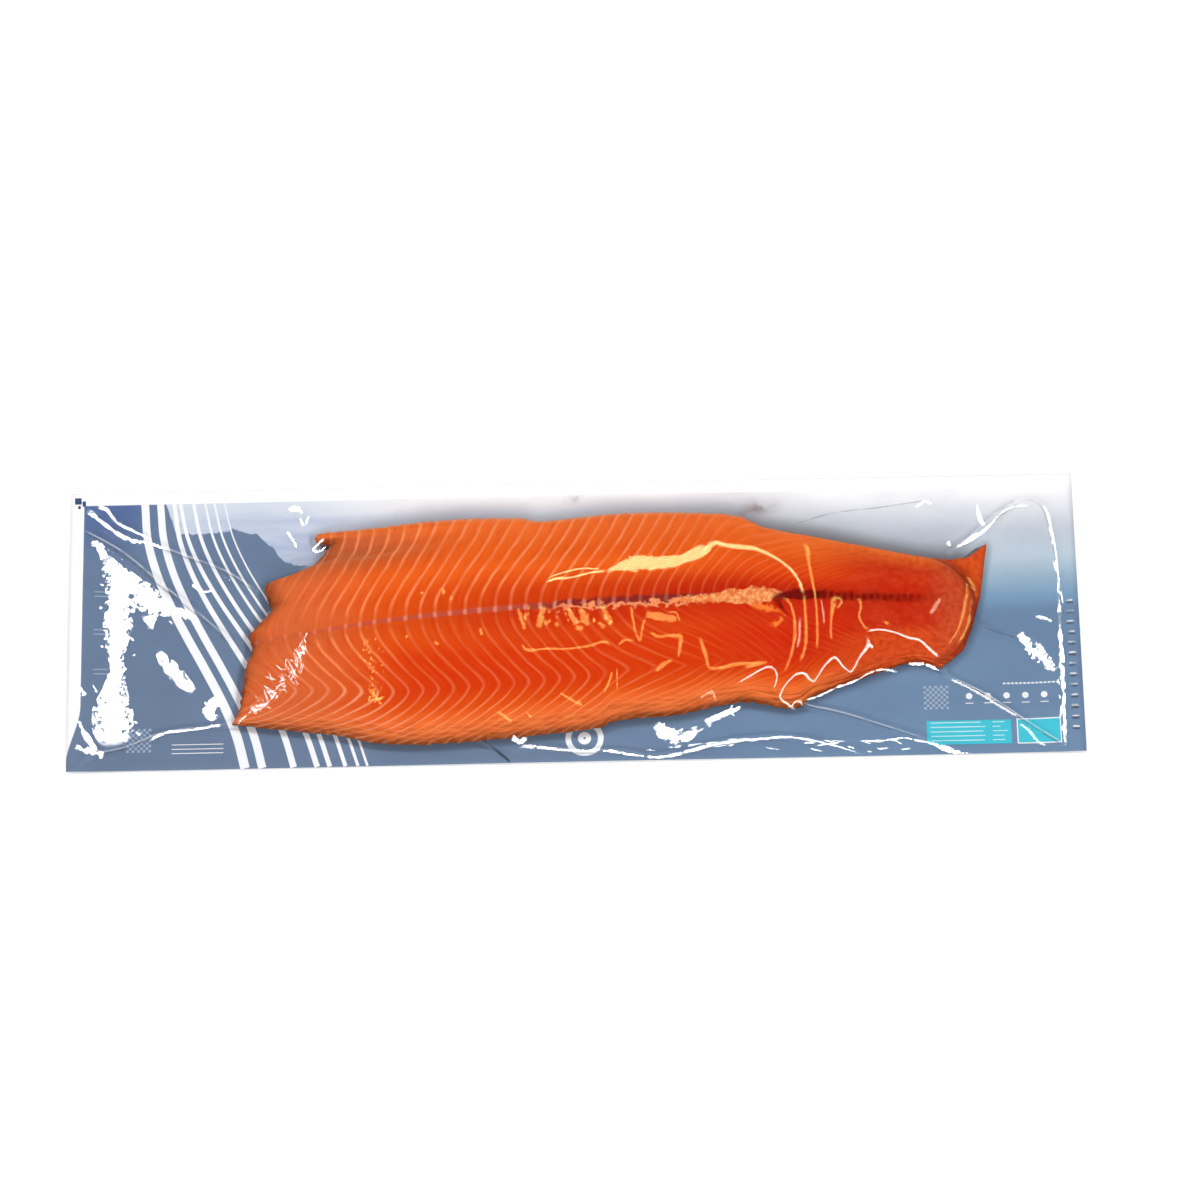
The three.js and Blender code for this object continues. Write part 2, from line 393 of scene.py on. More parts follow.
def build_uneven_ink():
    """Ink on film: slow cloudy changes of its density, and a fine grain."""
    tree, nodes, given, out = new_group(
        "uneven_ink",
        [("Ink", "NodeSocketColor"), ("Strength", "NodeSocketFloat")],
        [("Colour", "NodeSocketColor"), ("Roughness", "NodeSocketFloat"), ("Height", "NodeSocketFloat")],
    )
    clouds = nodes.noise(14, detail=4, rough=0.6, stretch=(1, 2.2, 1))
    grain = nodes.noise(900, detail=2)
    dull = nodes.maths("ADD", nodes.maths("MULTIPLY", clouds, 0.8), nodes.maths("MULTIPLY", grain, 0.2))
    share = nodes.maths("MULTIPLY", nodes.step(dull, 0.35, 0.68), given.outputs["Strength"])
    darker = nodes.mix(1.0, given.outputs["Ink"], (0.78, 0.8, 0.84, 1), blend="MULTIPLY")
    nodes.put(out.inputs["Colour"], nodes.mix(share, given.outputs["Ink"], darker))
    nodes.put(out.inputs["Roughness"], nodes.step(grain, 0.3, 0.7, 0.3, 0.42))
    nodes.put(out.inputs["Height"], grain)
    return tree


def build_film_ripple():
    """The clear film's small ripples: slow swells, and fine pits where it is crumpled."""
    tree, nodes, given, out = new_group(
        "film_ripple",
        [("Crumple", "NodeSocketFloat")],
        [("Height", "NodeSocketFloat")],
    )
    swell = nodes.noise(95, detail=2, rough=0.5)
    pits = nodes.noise(420, detail=3, rough=0.6, swirl=0.6)
    fine = nodes.maths("MULTIPLY", pits, given.outputs["Crumple"])
    nodes.put(out.inputs["Height"], nodes.maths("ADD", nodes.maths("MULTIPLY", swell, 0.55), fine))
    return tree


uneven_ink = build_uneven_ink()
film_ripple = build_film_ripple()

# ---------------------------------------------------------------------------------------------
# The printed backing film
# ---------------------------------------------------------------------------------------------

PRINT_LEFT = -316.5  # the ink stops short of the pack's left and far edges
PRINT_FAR = 86.5
HORIZON = 4.0  # where the print's sea meets its sky, right of the fillet
SHORE = [
    (-325, 110), (-268, 104), (-258, 68), (-245, 66.5), (-219, 69), (-206, 66), (-200, 61), (-193, 56),
    (-189, 48), (-184, 43.5), (-166, 43), (-150, HORIZON), (325, HORIZON),
]


def printed_backing_material():
    material, nodes = new_material("blue_printed_film")
    place = nodes.add("ShaderNodeSeparateXYZ")
    nodes.put(place.inputs[0], nodes.place((1000, 1000, 1000)))
    x, y = place.outputs[0], place.outputs[1]
    ragged = nodes.maths("SUBTRACT", nodes.noise(85, detail=5, rough=0.62), 0.5)

    rightward = nodes.step(x, -150, 230)
    sea = nodes.mix(rightward, paint(114, 132, 158), paint(118, 144, 173))
    depth = nodes.step(y, -96, 20)
    sea = nodes.mix(nodes.maths("MULTIPLY", depth, 0.3), sea, paint(104, 127, 157))
    corner = nodes.maths("MULTIPLY", nodes.step(x, -262, -292), nodes.step(y, 40, 92))
    sea = nodes.mix(corner, sea, paint(92, 114, 160))

    sky = nodes.add("ShaderNodeValToRGB")
    nodes.put(sky.inputs[0], nodes.maths("DIVIDE", nodes.maths("SUBTRACT", y, HORIZON), 88 - HORIZON))
    stops = [
        (0.0, (120, 149, 178)), (0.1, (127, 161, 189)), (0.4, (185, 200, 212)),
        (0.65, (200, 206, 216)), (0.86, (227, 228, 233)), (1.0, (248, 248, 249)),
    ]
    while len(sky.color_ramp.elements) < len(stops):
        sky.color_ramp.elements.new(0.5)
    for element, (at, colour) in zip(sky.color_ramp.elements, stops):
        element.position = at
        element.color = paint(*colour)
    brushed = nodes.noise(30, detail=4, rough=0.6, stretch=(0.35, 3.2, 1))
    haze = nodes.mix(nodes.step(brushed, 0.35, 0.65), paint(178, 189, 213), paint(202, 210, 224))
    haze = nodes.mix(nodes.step(y, 70, 86), haze, paint(212, 219, 229))
    sky_colour = nodes.mix(nodes.step(x, -200, -90), haze, sky.outputs[0])

    above = nodes.maths("ADD", nodes.fact("above_shore"), nodes.maths("MULTIPLY", ragged, 11))
    soft = nodes.step(x, -140, 60, 0.5, 5)
    edge = nodes.maths("DIVIDE", above, soft)
    field = nodes.mix(nodes.step(edge, -1, 1), sea, sky_colour)

    # Painted shadow: the print is painted darker by the fillet's far side, where the film stands off it.
    dull = nodes.product(nodes.step(nodes.fact("past_back"), 15, 0), nodes.band(x, -165, -120, 246, 264))
    painted_shadow_colour = nodes.mix(nodes.step(x, 90, 150), paint(158, 165, 182), paint(104, 100, 102))
    field = nodes.mix(nodes.product(dull, 0.8), field, painted_shadow_colour)
    # A wider, fainter painted shadow past the far edge by the tail.
    by_tail = nodes.band(x, 60, 140, 240, 264)
    painted_shadow_spread = nodes.product(nodes.step(nodes.fact("past_back"), 36, 4), by_tail, 0.35)
    field = nodes.mix(painted_shadow_spread, field, paint(140, 141, 148))
    # Painted refraction: brown marks where the fillet's skin edge shows through the film over the print.
    skin_refraction = nodes.product(nodes.fact("skin_refraction"), nodes.step(ragged, -0.1, 0.08, 0.3, 1.0), 0.75)
    field = nodes.mix(skin_refraction, field, paint(132, 112, 108))
    inked = nodes.group(uneven_ink, Ink=field, Strength=0.5)
    margin_far = nodes.maths("SUBTRACT", y, PRINT_FAR)
    left_edge = nodes.step(y, -50, -92, PRINT_LEFT, PRINT_LEFT - 9)
    margin_left = nodes.maths("SUBTRACT", left_edge, x)
    bare = nodes.step(nodes.maths("MAXIMUM", margin_far, margin_left), -0.25, 0.35)
    colour = nodes.mix(bare, inked.outputs["Colour"], paint(247, 247, 249))
    finish_principled(
        nodes, colour, inked.outputs["Roughness"], inked.outputs["Height"], bump=0.05,
        Specular_IOR_Level=0.1,
    )
    return material


def plain_laminate_material():
    material, nodes = new_material("pale_film_back")
    cloudy = nodes.noise(40, detail=3)
    colour = nodes.mix(nodes.step(cloudy, 0.35, 0.65), paint(222, 226, 232), paint(236, 238, 242))
    finish_principled(nodes, colour, nodes.step(cloudy, 0.3, 0.7, 0.28, 0.4), cloudy, bump=0.1)
    return material


# Painted refraction of the fillet's brown skin edge, on the print by its far edge.
SKIN_REFRACTIONS = [(123, 77, 9, 4.5), (113, 74, 5, 2.5), (1, 85, 3, 2.5)]  # x, y, and how far each spreads
BACKING_ROWS = 97
BACKING_COLUMNS = 164


def build_printed_backing():
    y, x = np.meshgrid(
        np.linspace(-HALF_WIDTH, HALF_WIDTH, BACKING_ROWS),
        np.linspace(-HALF_LENGTH, HALF_LENGTH, BACKING_COLUMNS),
        indexing="ij",
    )
    x, y = x.ravel(), y.ravel()
    lower = np.stack([x, y, curl(x, y)], 1)
    upper = lower + [0, 0, BACKING_THICKNESS]
    count = len(x)
    rim = grid_rim(BACKING_ROWS, BACKING_COLUMNS)
    turned = np.roll(rim, -1)
    wall = np.stack([rim, turned, turned + count, rim + count], 1).tolist()
    top = grid_faces(BACKING_ROWS, BACKING_COLUMNS, start=count)
    under = grid_faces(BACKING_ROWS, BACKING_COLUMNS, flip=True)
    above_shore = y - straight(SHORE)(x)
    past_back = np.where((x < BACK_EDGE[-1][0]) & (y > midline(x)), y - back_edge(x), 99)
    # How strongly the painted refraction of the skin edge shows at each point.
    skin_refraction = np.zeros(count)
    for at_x, at_y, wide, deep in SKIN_REFRACTIONS:
        skin_refraction += np.exp(-(((x - at_x) / wide) ** 2) - (((y - at_y) / deep) ** 2))
    facts = {"above_shore": above_shore, "past_back": past_back, "skin_refraction": skin_refraction}
    return make_piece(
        "printed_backing", np.concatenate([lower, upper]), under + top + wall,
        [printed_backing_material(), plain_laminate_material()], "backing_film",
        {fact: np.tile(values, 2) for fact, values in facts.items()},
        [1] * len(under) + [0] * len(top) + [1] * len(wall),
    )


PRINT_LIFT = 0.16  # the ink shapes lie this far above the sheet, to stay clear of its facets


def on_backing(x, y):
    return np.stack([x, y, curl(x, y) + BACKING_THICKNESS + PRINT_LIFT], 1)


def through(points, spacing=3.0):
    """A smooth line through points, as places about one spacing apart, and the share of each place."""
    points = np.array(points, float)
    steps = np.concatenate([[0], np.cumsum(np.linalg.norm(np.diff(points[:, :2], axis=0), axis=1))])
    steps = np.maximum.accumulate(steps + np.arange(len(steps)) * 1e-6)
    at = np.linspace(0, steps[-1], max(int(steps[-1] / spacing) + 2, 4))
    line = np.stack([curved(list(zip(steps, column)))(at) for column in points.T], 1)
    return line, at / steps[-1]


def across_line(line):
    """The unit direction across each place of a line."""
    run = np.gradient(line[:, :2], axis=0)
    run /= np.maximum(np.linalg.norm(run, axis=1, keepdims=True), 1e-9)
    return np.stack([-run[:, 1], run[:, 0]], 1)


class Shapes:
    """Flat shapes that are printed or laid on a surface, gathered into one mesh."""

    def __init__(self, height):
        self.height = height
        self.points = []
        self.faces = []
        self.count = 0

    def grid(self, x, y, rows, columns, flip=False):
        placed = self.height(np.asarray(x, float).ravel(), np.asarray(y, float).ravel())
        self.points.append(placed)
        self.faces += grid_faces(rows, columns, self.count, flip)
        self.count += rows * columns

    def stripe(self, points):
        """A stripe through places (x, y, half width)."""
        line, _ = through(points)
        side = across_line(line)
        edges = [line[:, :2] + side * line[:, 2:3] * way for way in (1, -1)]
        both = np.stack(edges)
        self.grid(both[..., 0], both[..., 1], 2, len(line), flip=True)

    def panel(self, left, bottom, right, top, spacing=3.0):
        columns = int((right - left) / spacing) + 2
        rows = int((top - bottom) / spacing) + 2
        y, x = np.meshgrid(np.linspace(bottom, top, rows), np.linspace(left, right, columns), indexing="ij")
        self.grid(x, y, rows, columns)

    def ring(self, x, y, inner, outer, sides=48):
        turn = np.linspace(0, math.tau, sides + 1)
        radius = np.array([[inner], [outer]])
        self.grid(x + radius * np.cos(turn), y + radius * np.sin(turn), 2, sides + 1, flip=True)

    def build(self, name, material, slot):
        return make_piece(name, np.concatenate(self.points), self.faces, [material])


# Curved stripes that sweep down the print's left part: where each starts at the far edge, where it
# ends at the near edge, its width at both, and how far it swings out to the left on the way.
STRIPES = [
    (-277, -211, 5.0, 6.0, 12),
    (-267, -200, 4.6, 5.2, 11),
    (-258, -180, 2.8, 4.2, 10),
    (-254, -165, 2.2, 3.6, 8),
    (-245.5, -157, 2.2, 3.0, 8),
    (-238, -147, 1.4, 2.6, 7),
    (-232, -139, 1.3, 2.0, 7),
    (-225.5, -133, 0.9, 1.6, 6),
]


def stripe_route(top, bottom, start_width, end_width, swing):
    """A stripe falls steeply, leans towards the tail in the middle and falls steeply again."""
    shares = np.linspace(0, 1, 9)
    y = PRINT_FAR - shares * (PRINT_FAR + HALF_WIDTH - 0.3)
    lean = smooth(0.0, 1.0, shares) * 0.55 + shares * 0.45
    x = top + (bottom - top) * lean - swing * np.sin(shares * math.pi) * (1 - shares) * 0.9
    return [(a, b, w / 2) for a, b, w in zip(x, y, np.linspace(start_width, end_width, 9))]


def flat_ink_material(name, colour, mottle):
    material, nodes = new_material(name)
    inked = nodes.group(uneven_ink, Ink=colour, Strength=mottle)
    finish_principled(
        nodes, inked.outputs["Colour"], inked.outputs["Roughness"], inked.outputs["Height"], bump=0.05,
        Specular_IOR_Level=0.1,
    )
    return material


def build_ink(shapes, name, ink, colour, mottle):
    shapes.build(name, flat_ink_material(ink, colour, mottle), "printed_film")


def chequers(shapes, left, bottom, size, cells):
    """A plain chequered block."""
    cell = size / cells
    for row in range(cells):
        for column in range(row % 2, cells, 2):
            x, y = left + column * cell, bottom + row * cell
            shapes.panel(x, y, x + cell * 0.92, y + cell * 0.92)


def build_print_shapes():
    white = Shapes(on_backing)
    for stripe in STRIPES:
        white.stripe(stripe_route(*stripe))
    white.ring(5.5, -78.5, 8.6, 12.2)
    white.ring(5.5, -78.5, 0.8, 4.2)
    for x in range(252, 308, 12):
        white.ring(x, -55.5, 0.2, 2.1, sides=20)
        white.panel(x - 2.6, -60.6, x + 2.6, -60.0)
    for x in np.arange(274, 310, 2.6):
        white.panel(x, -48.0, x + 1.8, -46.9)
    for y in (-77.6, -80.6, -83.4):
        white.panel(-258, y, -225, y + 0.55)
    white.panel(281.5, -88.3, 309.8, -71.2)
    build_ink(white, "print_white_shapes", "white_ink", paint(240, 241, 245), 0.3)

    pale = Shapes(on_backing)
    chequers(pale, -287, -82, 16, 9)
    chequers(pale, 223, -64, 16, 9)
    for y in (27, 24, 1, -2, -26, -29):
        pale.panel(-309, y, -300, y + 0.6)
    build_ink(pale, "print_chequers", "pale_ink", paint(168, 184, 205), 0.5)

    teal = Shapes(lambda x, y: on_backing(x, y) + [0, 0, 0.1])
    teal.panel(224, -88, 278, -71.8)
    teal.panel(282.3, -87.5, 309, -72)
    build_ink(teal, "print_teal_panels", "teal_ink", paint(78, 196, 213), 0.4)

    dark = Shapes(on_backing)
    dark.panel(-322.5, 87.5, -318.2, 91.5)
    dark.panel(-317.6, 86.2, -315.4, 89.4)
    dark.panel(-320.5, 84.6, -318.8, 86.6)
    build_ink(dark, "print_corner_mark", "dark_ink", paint(70, 84, 124), 0.6)

    lines = Shapes(lambda x, y: on_backing(x, y) + [0, 0, 0.2])
    for y in np.arange(-85.6, -73, 3.0):
        for left, right in ((226.5, 262), (266, 276)):
            lines.panel(left, y, right - 5 * draw.random(), y + 0.7)
    build_ink(lines, "print_panel_lines", "light_teal_ink", paint(188, 228, 234), 0.4)


build_printed_backing()
build_print_shapes()

# ---------------------------------------------------------------------------------------------
# The fillet
# ---------------------------------------------------------------------------------------------

# The pale lines between the flakes: their pitch along the midline, and how far each line has moved
# towards the tail when it gets to a share of the half width. Stations: [x, pitch], [share, move].
LINE_PITCH = [(-225, 9.6), (10, 9.4), (50, 8.2), (90, 7.2), (125, 6.0), (180, 4.6), (270, 3.6)]
BELLY_LINES = [
    (0, 0), (0.11, 1.7), (0.22, 5.5), (0.335, 12.2), (0.45, 20), (0.545, 27.7), (0.615, 31),
    (0.68, 27.7), (0.75, 21), (0.83, 11), (0.9, 0), (0.95, -11), (1, -25),
]
BELLY_LINES_TAIL = [(0, 0), (0.3, 29), (0.62, 61), (0.75, 45.5), (0.85, 30), (1, 0)]
BACK_LINES = [(0, 0), (0.14, 1.9), (0.28, 7.6), (0.47, 16.5), (0.66, 24.3), (0.86, 30.9), (1, 34.7)]
BACK_LINES_HEAD = [
    (0, 0), (0.14, 1.9), (0.28, 7.6), (0.47, 16.5), (0.66, 23), (0.86, 28), (0.93, 28.5), (1, 26),
]
BACK_LINES_TAIL = [(0, 0), (0.14, 8), (0.5, 40), (1, 88)]

FILLET_COLUMNS = 401
FILLET_ROWS = 151


def line_phase(x, share):
    """Which flake a place belongs to. The pale lines lie at the whole numbers."""
    reach = np.abs(share)
    tailward = smooth(10, 95, x)
    headward = smooth(-110, -190, x)
    near = curved(BELLY_LINES)(reach) * (1 - 0.17 * headward)
    near = near + (straight(BELLY_LINES_TAIL)(reach) - near) * tailward
    far = curved(BACK_LINES)(reach)
    far = far + (curved(BACK_LINES_HEAD)(reach) - far) * smooth(-60, -110, x)
    far = far + (straight(BACK_LINES_TAIL)(reach) - far) * smooth(85, 190, x)
    move = np.where(share < 0, near, far)
    table = np.linspace(-300, 300, 1201)
    lines = np.concatenate([[0], np.cumsum(0.5 / curved(LINE_PITCH)(table[1:]))])
    return np.interp(x - move, table, lines)


# Half the width of the dark strip on the midline, in millimetres, along the fillet.
STRIP_HALF = [
    (-215, 1.2), (-120, 1.5), (-20, 1.9), (15, 2.9), (70, 3.1), (100, 2.4), (135, 2.9), (160, 2.6),
    (200, 2.2), (232, 1.8), (242, 0.4),
]

# Chains of beads, each at x and y with a radius: the pale fat on the midline, the softer fat that
# runs down from it, and the dark notch at its end.
FAT_PATCH = [
    (64, 6.2, 1.2), (72, 6.6, 2.2), (80, 7, 2.8), (90, 7.6, 3.1), (100, 8, 4.0), (108, 8.4, 4.7),
    (116, 8.6, 5.7), (122, 9.2, 5), (127, 9.8, 3.4), (131, 10.8, 2), (134, 11.4, 0.8),
]
FAT_RUN = [
    (114, 3.8, 1.8), (119, 2, 2.8), (124, 0, 2.4), (129, -2.5, 1.2), (132, -6, 2.4), (131, -9.5, 2.2),
    (127.5, -11.5, 1.0),
]
NOTCH = [
    (137, -4, 0.4), (135, -1, 0.9), (132, 3.5, 1.2), (129, 7.5, 1.4), (131, 9.5, 1.2), (137, 9.5, 2.2),
    (143, 9.6, 3.4), (150, 9.4, 3.0), (158, 9.5, 2.4),
]


def chain_depth(x, y, beads, spacing=1.0):
    """How deep a place lies inside a chain of beads, in millimetres, and below 0 outside it."""
    line, _ = through(beads, spacing)
    depth = np.full(x.shape, -9.0)
    near = (x > line[:, 0].min() - 12) & (x < line[:, 0].max() + 12)
    for bead_x, bead_y, radius in line:
        depth[near] = np.maximum(depth[near], radius - np.hypot(x[near] - bead_x, y[near] - bead_y))
    return depth


def line_strength(x, y, share):
    """How plainly the pale lines show: less on the tail, at the head's corner and by the midline."""
    upper = (0.8 - 0.4 * smooth(-120, -180, x)) - 0.5 * smooth(30, 95, x) - 0.18 * smooth(110, 170, x)
    inner = 0.74 - 0.46 * smooth(-140, -105, x) - 0.02 * smooth(0, 50, x) - 0.17 * smooth(40, 85, x)
    outer = 0.66 - 0.16 * smooth(-40, 50, x) - 0.36 * smooth(50, 140, x)
    lower = inner + (outer - inner) * smooth(-0.58, -0.82, share)
    strength = np.where(share > 0, upper, lower)
    corner = smooth(-160, -200, x) * smooth(-0.92, -0.7, share) * smooth(34, 18, y)
    full = np.where(share > 0, 0.14 + 0.3 * smooth(-80, 0, x), 0.14)
    by_midline = 0.4 + 0.6 * smooth(0.05, full, np.abs(share))
    return strength * by_midline * (1 - 0.8 * corner)


def salmon_flesh_material():
    material, nodes = new_material("salmon_flesh")
    step, band, product, mix = nodes.step, nodes.band, nodes.product, nodes.mix
    maths, fact, noise = nodes.maths, nodes.fact, nodes.noise
    across = fact("across")
    x = fact("at_length")
    off_line = fact("off_midline")
    mottle = noise(60, detail=5, rough=0.6)
    along_flakes = nodes.add("ShaderNodeCombineXYZ")
    nodes.put(along_flakes.inputs[0], maths("MULTIPLY", fact("flake"), 4.2))
    nodes.put(along_flakes.inputs[1], maths("MULTIPLY", across, 5))
    fibre = noise(1, detail=3, rough=0.62, where=along_flakes.outputs[0])
    torn = noise(210, detail=4, rough=0.65)

    # Broad tones, from the deep middle of each lobe to the paler edges, some of them painted shade or light:
    # how much, and which colour.
    from_head = fact("from_head")
    past_dome = fact("past_dome")
    tailward = step(x, 60, 150)
    tail = step(x, 150, 200)
    head_rim = product(step(from_head, 4.5, 0), step(torn, 0.4, 0.58), step(across, 0.92, 0.86), 0.8)
    head_shade = product(step(from_head, 13, 0), band(across, -0.4, 0.2, 0.8, 0.9), 0.6)
    # Painted shade in the channel by the back edge at the head end, over what its dip shades.
    channel = product(band(across, 0.38, 0.72, 0.84, 0.95), step(x, -70, -140), 0.8)
    washes = [
        (step(across, 0.08, 0.4), flesh(235, 104, 38)),
        (step(across, 0.5, 0.95), flesh(246, 122, 54)),
        (product(band(across, -0.82, -0.6, -0.4, -0.15), step(x, -170, -90), 0.85), flesh(213, 60, 12)),
        (product(band(across, -0.9, -0.4, -0.05, 0), tailward, 0.85), flesh(204, 44, 6)),
        # Darker washes by the midline and on the upper lobe's lower half: partly the flesh's deeper red,
        # partly painted shade in the groove and under the crest.
        (product(band(across, -0.4, -0.1, 0, 0.02), step(x, -150, 0), 0.8), flesh(204, 44, 8)),
        (product(band(across, -0.02, 0.02, 0.06, 0.4), step(x, -150, -20), 0.75), flesh(204, 56, 18)),
        (product(band(across, 0, 0.02, 0.06, 0.3), step(x, 0, 90), 0.75), flesh(184, 32, 8)),
        (product(band(across, 0.1, 0.2, 0.35, 0.62), tailward, 0.6), flesh(212, 58, 14)),
        # A paler belly edge: partly its own paler flesh, partly painted light against the shade on its slope.
        (step(across, -0.74, -0.94), flesh(248, 130, 66)),
        (product(step(x, -110, -190), 0.75), flesh(214, 116, 68)),
        (channel, flesh(186, 101, 64)),
        (product(step(across, 0.86, 0.97), step(x, -90, -140), 0.8), flesh(236, 122, 56)),
        (head_shade, flesh(168, 80, 42)),
        (head_rim, flesh(120, 52, 26)),
        (product(tail, step(across, 0.95, 0.45), 0.92), flesh(198, 44, 6)),
        (product(tail, band(across, -1.1, -1, -0.6, -0.35), 0.85), flesh(222, 88, 38)),
        (product(step(x, 222, 244), 0.85), flesh(203, 88, 52)),
        (product(step(past_dome, -0.03, 0.06), 0.9), flesh(216, 88, 36)),
        # A dark band at the dome's foot: painted shade in the fold between the dome and the stalk.
        (product(band(past_dome, -0.08, 0.0, 0.03, 0.14), 0.6), flesh(140, 44, 16)),
    ]
    tone = flesh(226, 92, 32)
    for share, colour in washes:
        tone = mix(share, tone, colour)
    tone = mix(step(mottle, 0.3, 0.7, 0.0, 0.16), tone, flesh(210, 66, 22))
    tone = mix(product(step(mottle, 0.47, 0.6), tail, 0.16), tone, flesh(216, 92, 54))

    # The pale lines between the flakes, and the shade beside each.
    wobble = product(maths("SUBTRACT", noise(45, detail=3), 0.5), 0.34)
    within = maths("FRACT", maths("ADD", fact("flake"), wobble))
    off = maths("ABSOLUTE", maths("SUBTRACT", within, 0.5))
    flake_share = maths("SUBTRACT", 0.5, off)
    from_line = product(flake_share, fact("flake_gap"))
    faint = product(step(noise(55, detail=3), 0.35, 0.6, 0.5, 1.0), fact("line_strength"))
    tone = mix(product(step(within, 0.1, 1.0), faint, 0.22), tone, flesh(204, 56, 16))
    tone = mix(step(fibre, 0.5, 0.3, 0, 0.3), tone, flesh(196, 48, 10))
    tone = mix(product(step(fibre, 0.5, 0.7), step(x, 90, 170, 0.2, 0.28)), tone, flesh(232, 102, 48))
    freckle = noise(340, detail=4, rough=0.65)
    tone = mix(product(step(freckle, 0.52, 0.4), tail, 0.35), tone, flesh(168, 36, 6))
    tone = mix(product(step(freckle, 0.54, 0.68), tail, 0.3), tone, flesh(232, 106, 58))

    # Thin streaks along the belly's edge, darker on the tail: the darker streaks and the thin dark rim are
    # painted shade where the edge meets the film.
    along_edge = nodes.add("ShaderNodeCombineXYZ")
    nodes.put(along_edge.inputs[0], maths("MULTIPLY", x, 0.06))
    nodes.put(along_edge.inputs[1], maths("MULTIPLY", across, 48))
    streak = noise(1, detail=3, rough=0.6, where=along_edge.outputs[0])
    edge = step(across, -0.8, -0.94)
    shaded = product(step(streak, 0.54, 0.38), edge, step(x, 80, 160, 0.35, 0.8))
    tone = mix(shaded, tone, flesh(150, 58, 22))
    tone = mix(product(step(streak, 0.52, 0.64), edge, 0.4), tone, flesh(250, 142, 80))
    # Painted shade: a thin dark rim along the belly's edge.
    rim = product(step(across, -0.955, -0.995), step(torn, 0.34, 0.52, 0.3, 0.75))
    tone = mix(rim, tone, flesh(140, 66, 34))
    paler = product(step(across, -0.45, -0.7), step(x, -60, -120))
    line_colour = mix(paler, flesh(250, 152, 94), flesh(250, 172, 126))
    tone = mix(product(step(flake_share, 0.18, 0.02), faint), tone, line_colour)

    # The dark strip on the midline: mauve, torn and pink in the middle, dotted on the tail.
    tear = step(torn, 0.36, 0.64, -1, 1)
    ragged = product(tear, step(x, -40, 20, 0.3, 0.9))
    blur = step(x, 120, 165, 0.6, 1.7)
    strip = step(maths("DIVIDE", maths("ADD", fact("strip_depth"), ragged), blur), -1, 1)
    mauve = mix(step(x, -50, 5), flesh(190, 88, 66), flesh(136, 50, 44))
    bead = maths("ABSOLUTE", maths("SUBTRACT", maths("FRACT", maths("DIVIDE", x, 4.3)), 0.5))
    dots = mix(step(bead, 0.42, 0.16), flesh(168, 42, 22), flesh(112, 18, 12))
    mauve = mix(step(x, 125, 150), mauve, dots)
    ticks = product(step(from_line, 1.7, 0.6), step(x, 0, 40, 0.7, 0.2), step(x, 130, 100))
    strip_colour = mix(ticks, mauve, flesh(236, 156, 132))
    strip_share = product(strip, step(x, -205, -60, 0.3, 0.88), step(x, 240, 205))
    tone = mix(strip_share, tone, strip_colour)
    shreds = maths("ADD", off_line, product(tear, 2.2))
    pink = product(band(shreds, -4.2, -3.4, -1.4, 0.0), band(x, -30, 5, 66, 84))
    tone = mix(product(pink, 0.92), tone, flesh(255, 160, 104))

    # The notch and the fat at the strip's end.
    run = maths("ADD", fact("run_depth"), product(tear, 1.9))
    tone = mix(product(step(run, -0.5, 1.6), 0.85), tone, flesh(250, 138, 58))
    fat = maths("ADD", fact("fat_depth"), product(tear, 1.1))
    fat_colour = mix(step(freckle, 0.42, 0.58), flesh(240, 130, 70), flesh(255, 184, 112))
    furrow = maths("ABSOLUTE", maths("SUBTRACT", noise(170, detail=3, swirl=0.8), 0.5))
    fat_colour = mix(step(furrow, 0.035, 0.008, 0, 0.5), fat_colour, flesh(186, 78, 44))
    tone = mix(product(step(fat, -0.5, 0.6), 0.95), tone, fat_colour)
    notch = maths("ADD", fact("notch_depth"), product(tear, 0.6))
    tone = mix(product(step(notch, -0.6, 0.6), 0.85), tone, flesh(118, 32, 26))

    height = maths("ADD", product(step(from_line, 0.0, 2.6), 0.7), product(fibre, 0.3))
    finish_principled(
        nodes, tone, step(mottle, 0.3, 0.7, 0.42, 0.55), height, bump=0.2, reach=0.0004,
        Specular_IOR_Level=0.0,
    )
    return material


def salmon_skin_material():
    material, nodes = new_material("salmon_skin")
    scales = nodes.add("ShaderNodeTexVoronoi")
    nodes.put(scales.inputs["Vector"], nodes.place((1, 1.5, 1)))
    nodes.put(scales.inputs["Scale"], 320)
    cloudy = nodes.noise(50, detail=4)
    silver = nodes.mix(nodes.step(cloudy, 0.35, 0.65), flesh(128, 118, 112), flesh(168, 160, 152))
    colour = nodes.mix(nodes.step(scales.outputs["Distance"], 0.1, 0.6, 0, 0.5), silver, flesh(96, 88, 86))
    rough = nodes.step(cloudy, 0.3, 0.7, 0.3, 0.45)
    finish_principled(nodes, colour, rough, scales.outputs["Distance"], bump=0.2)
    return material


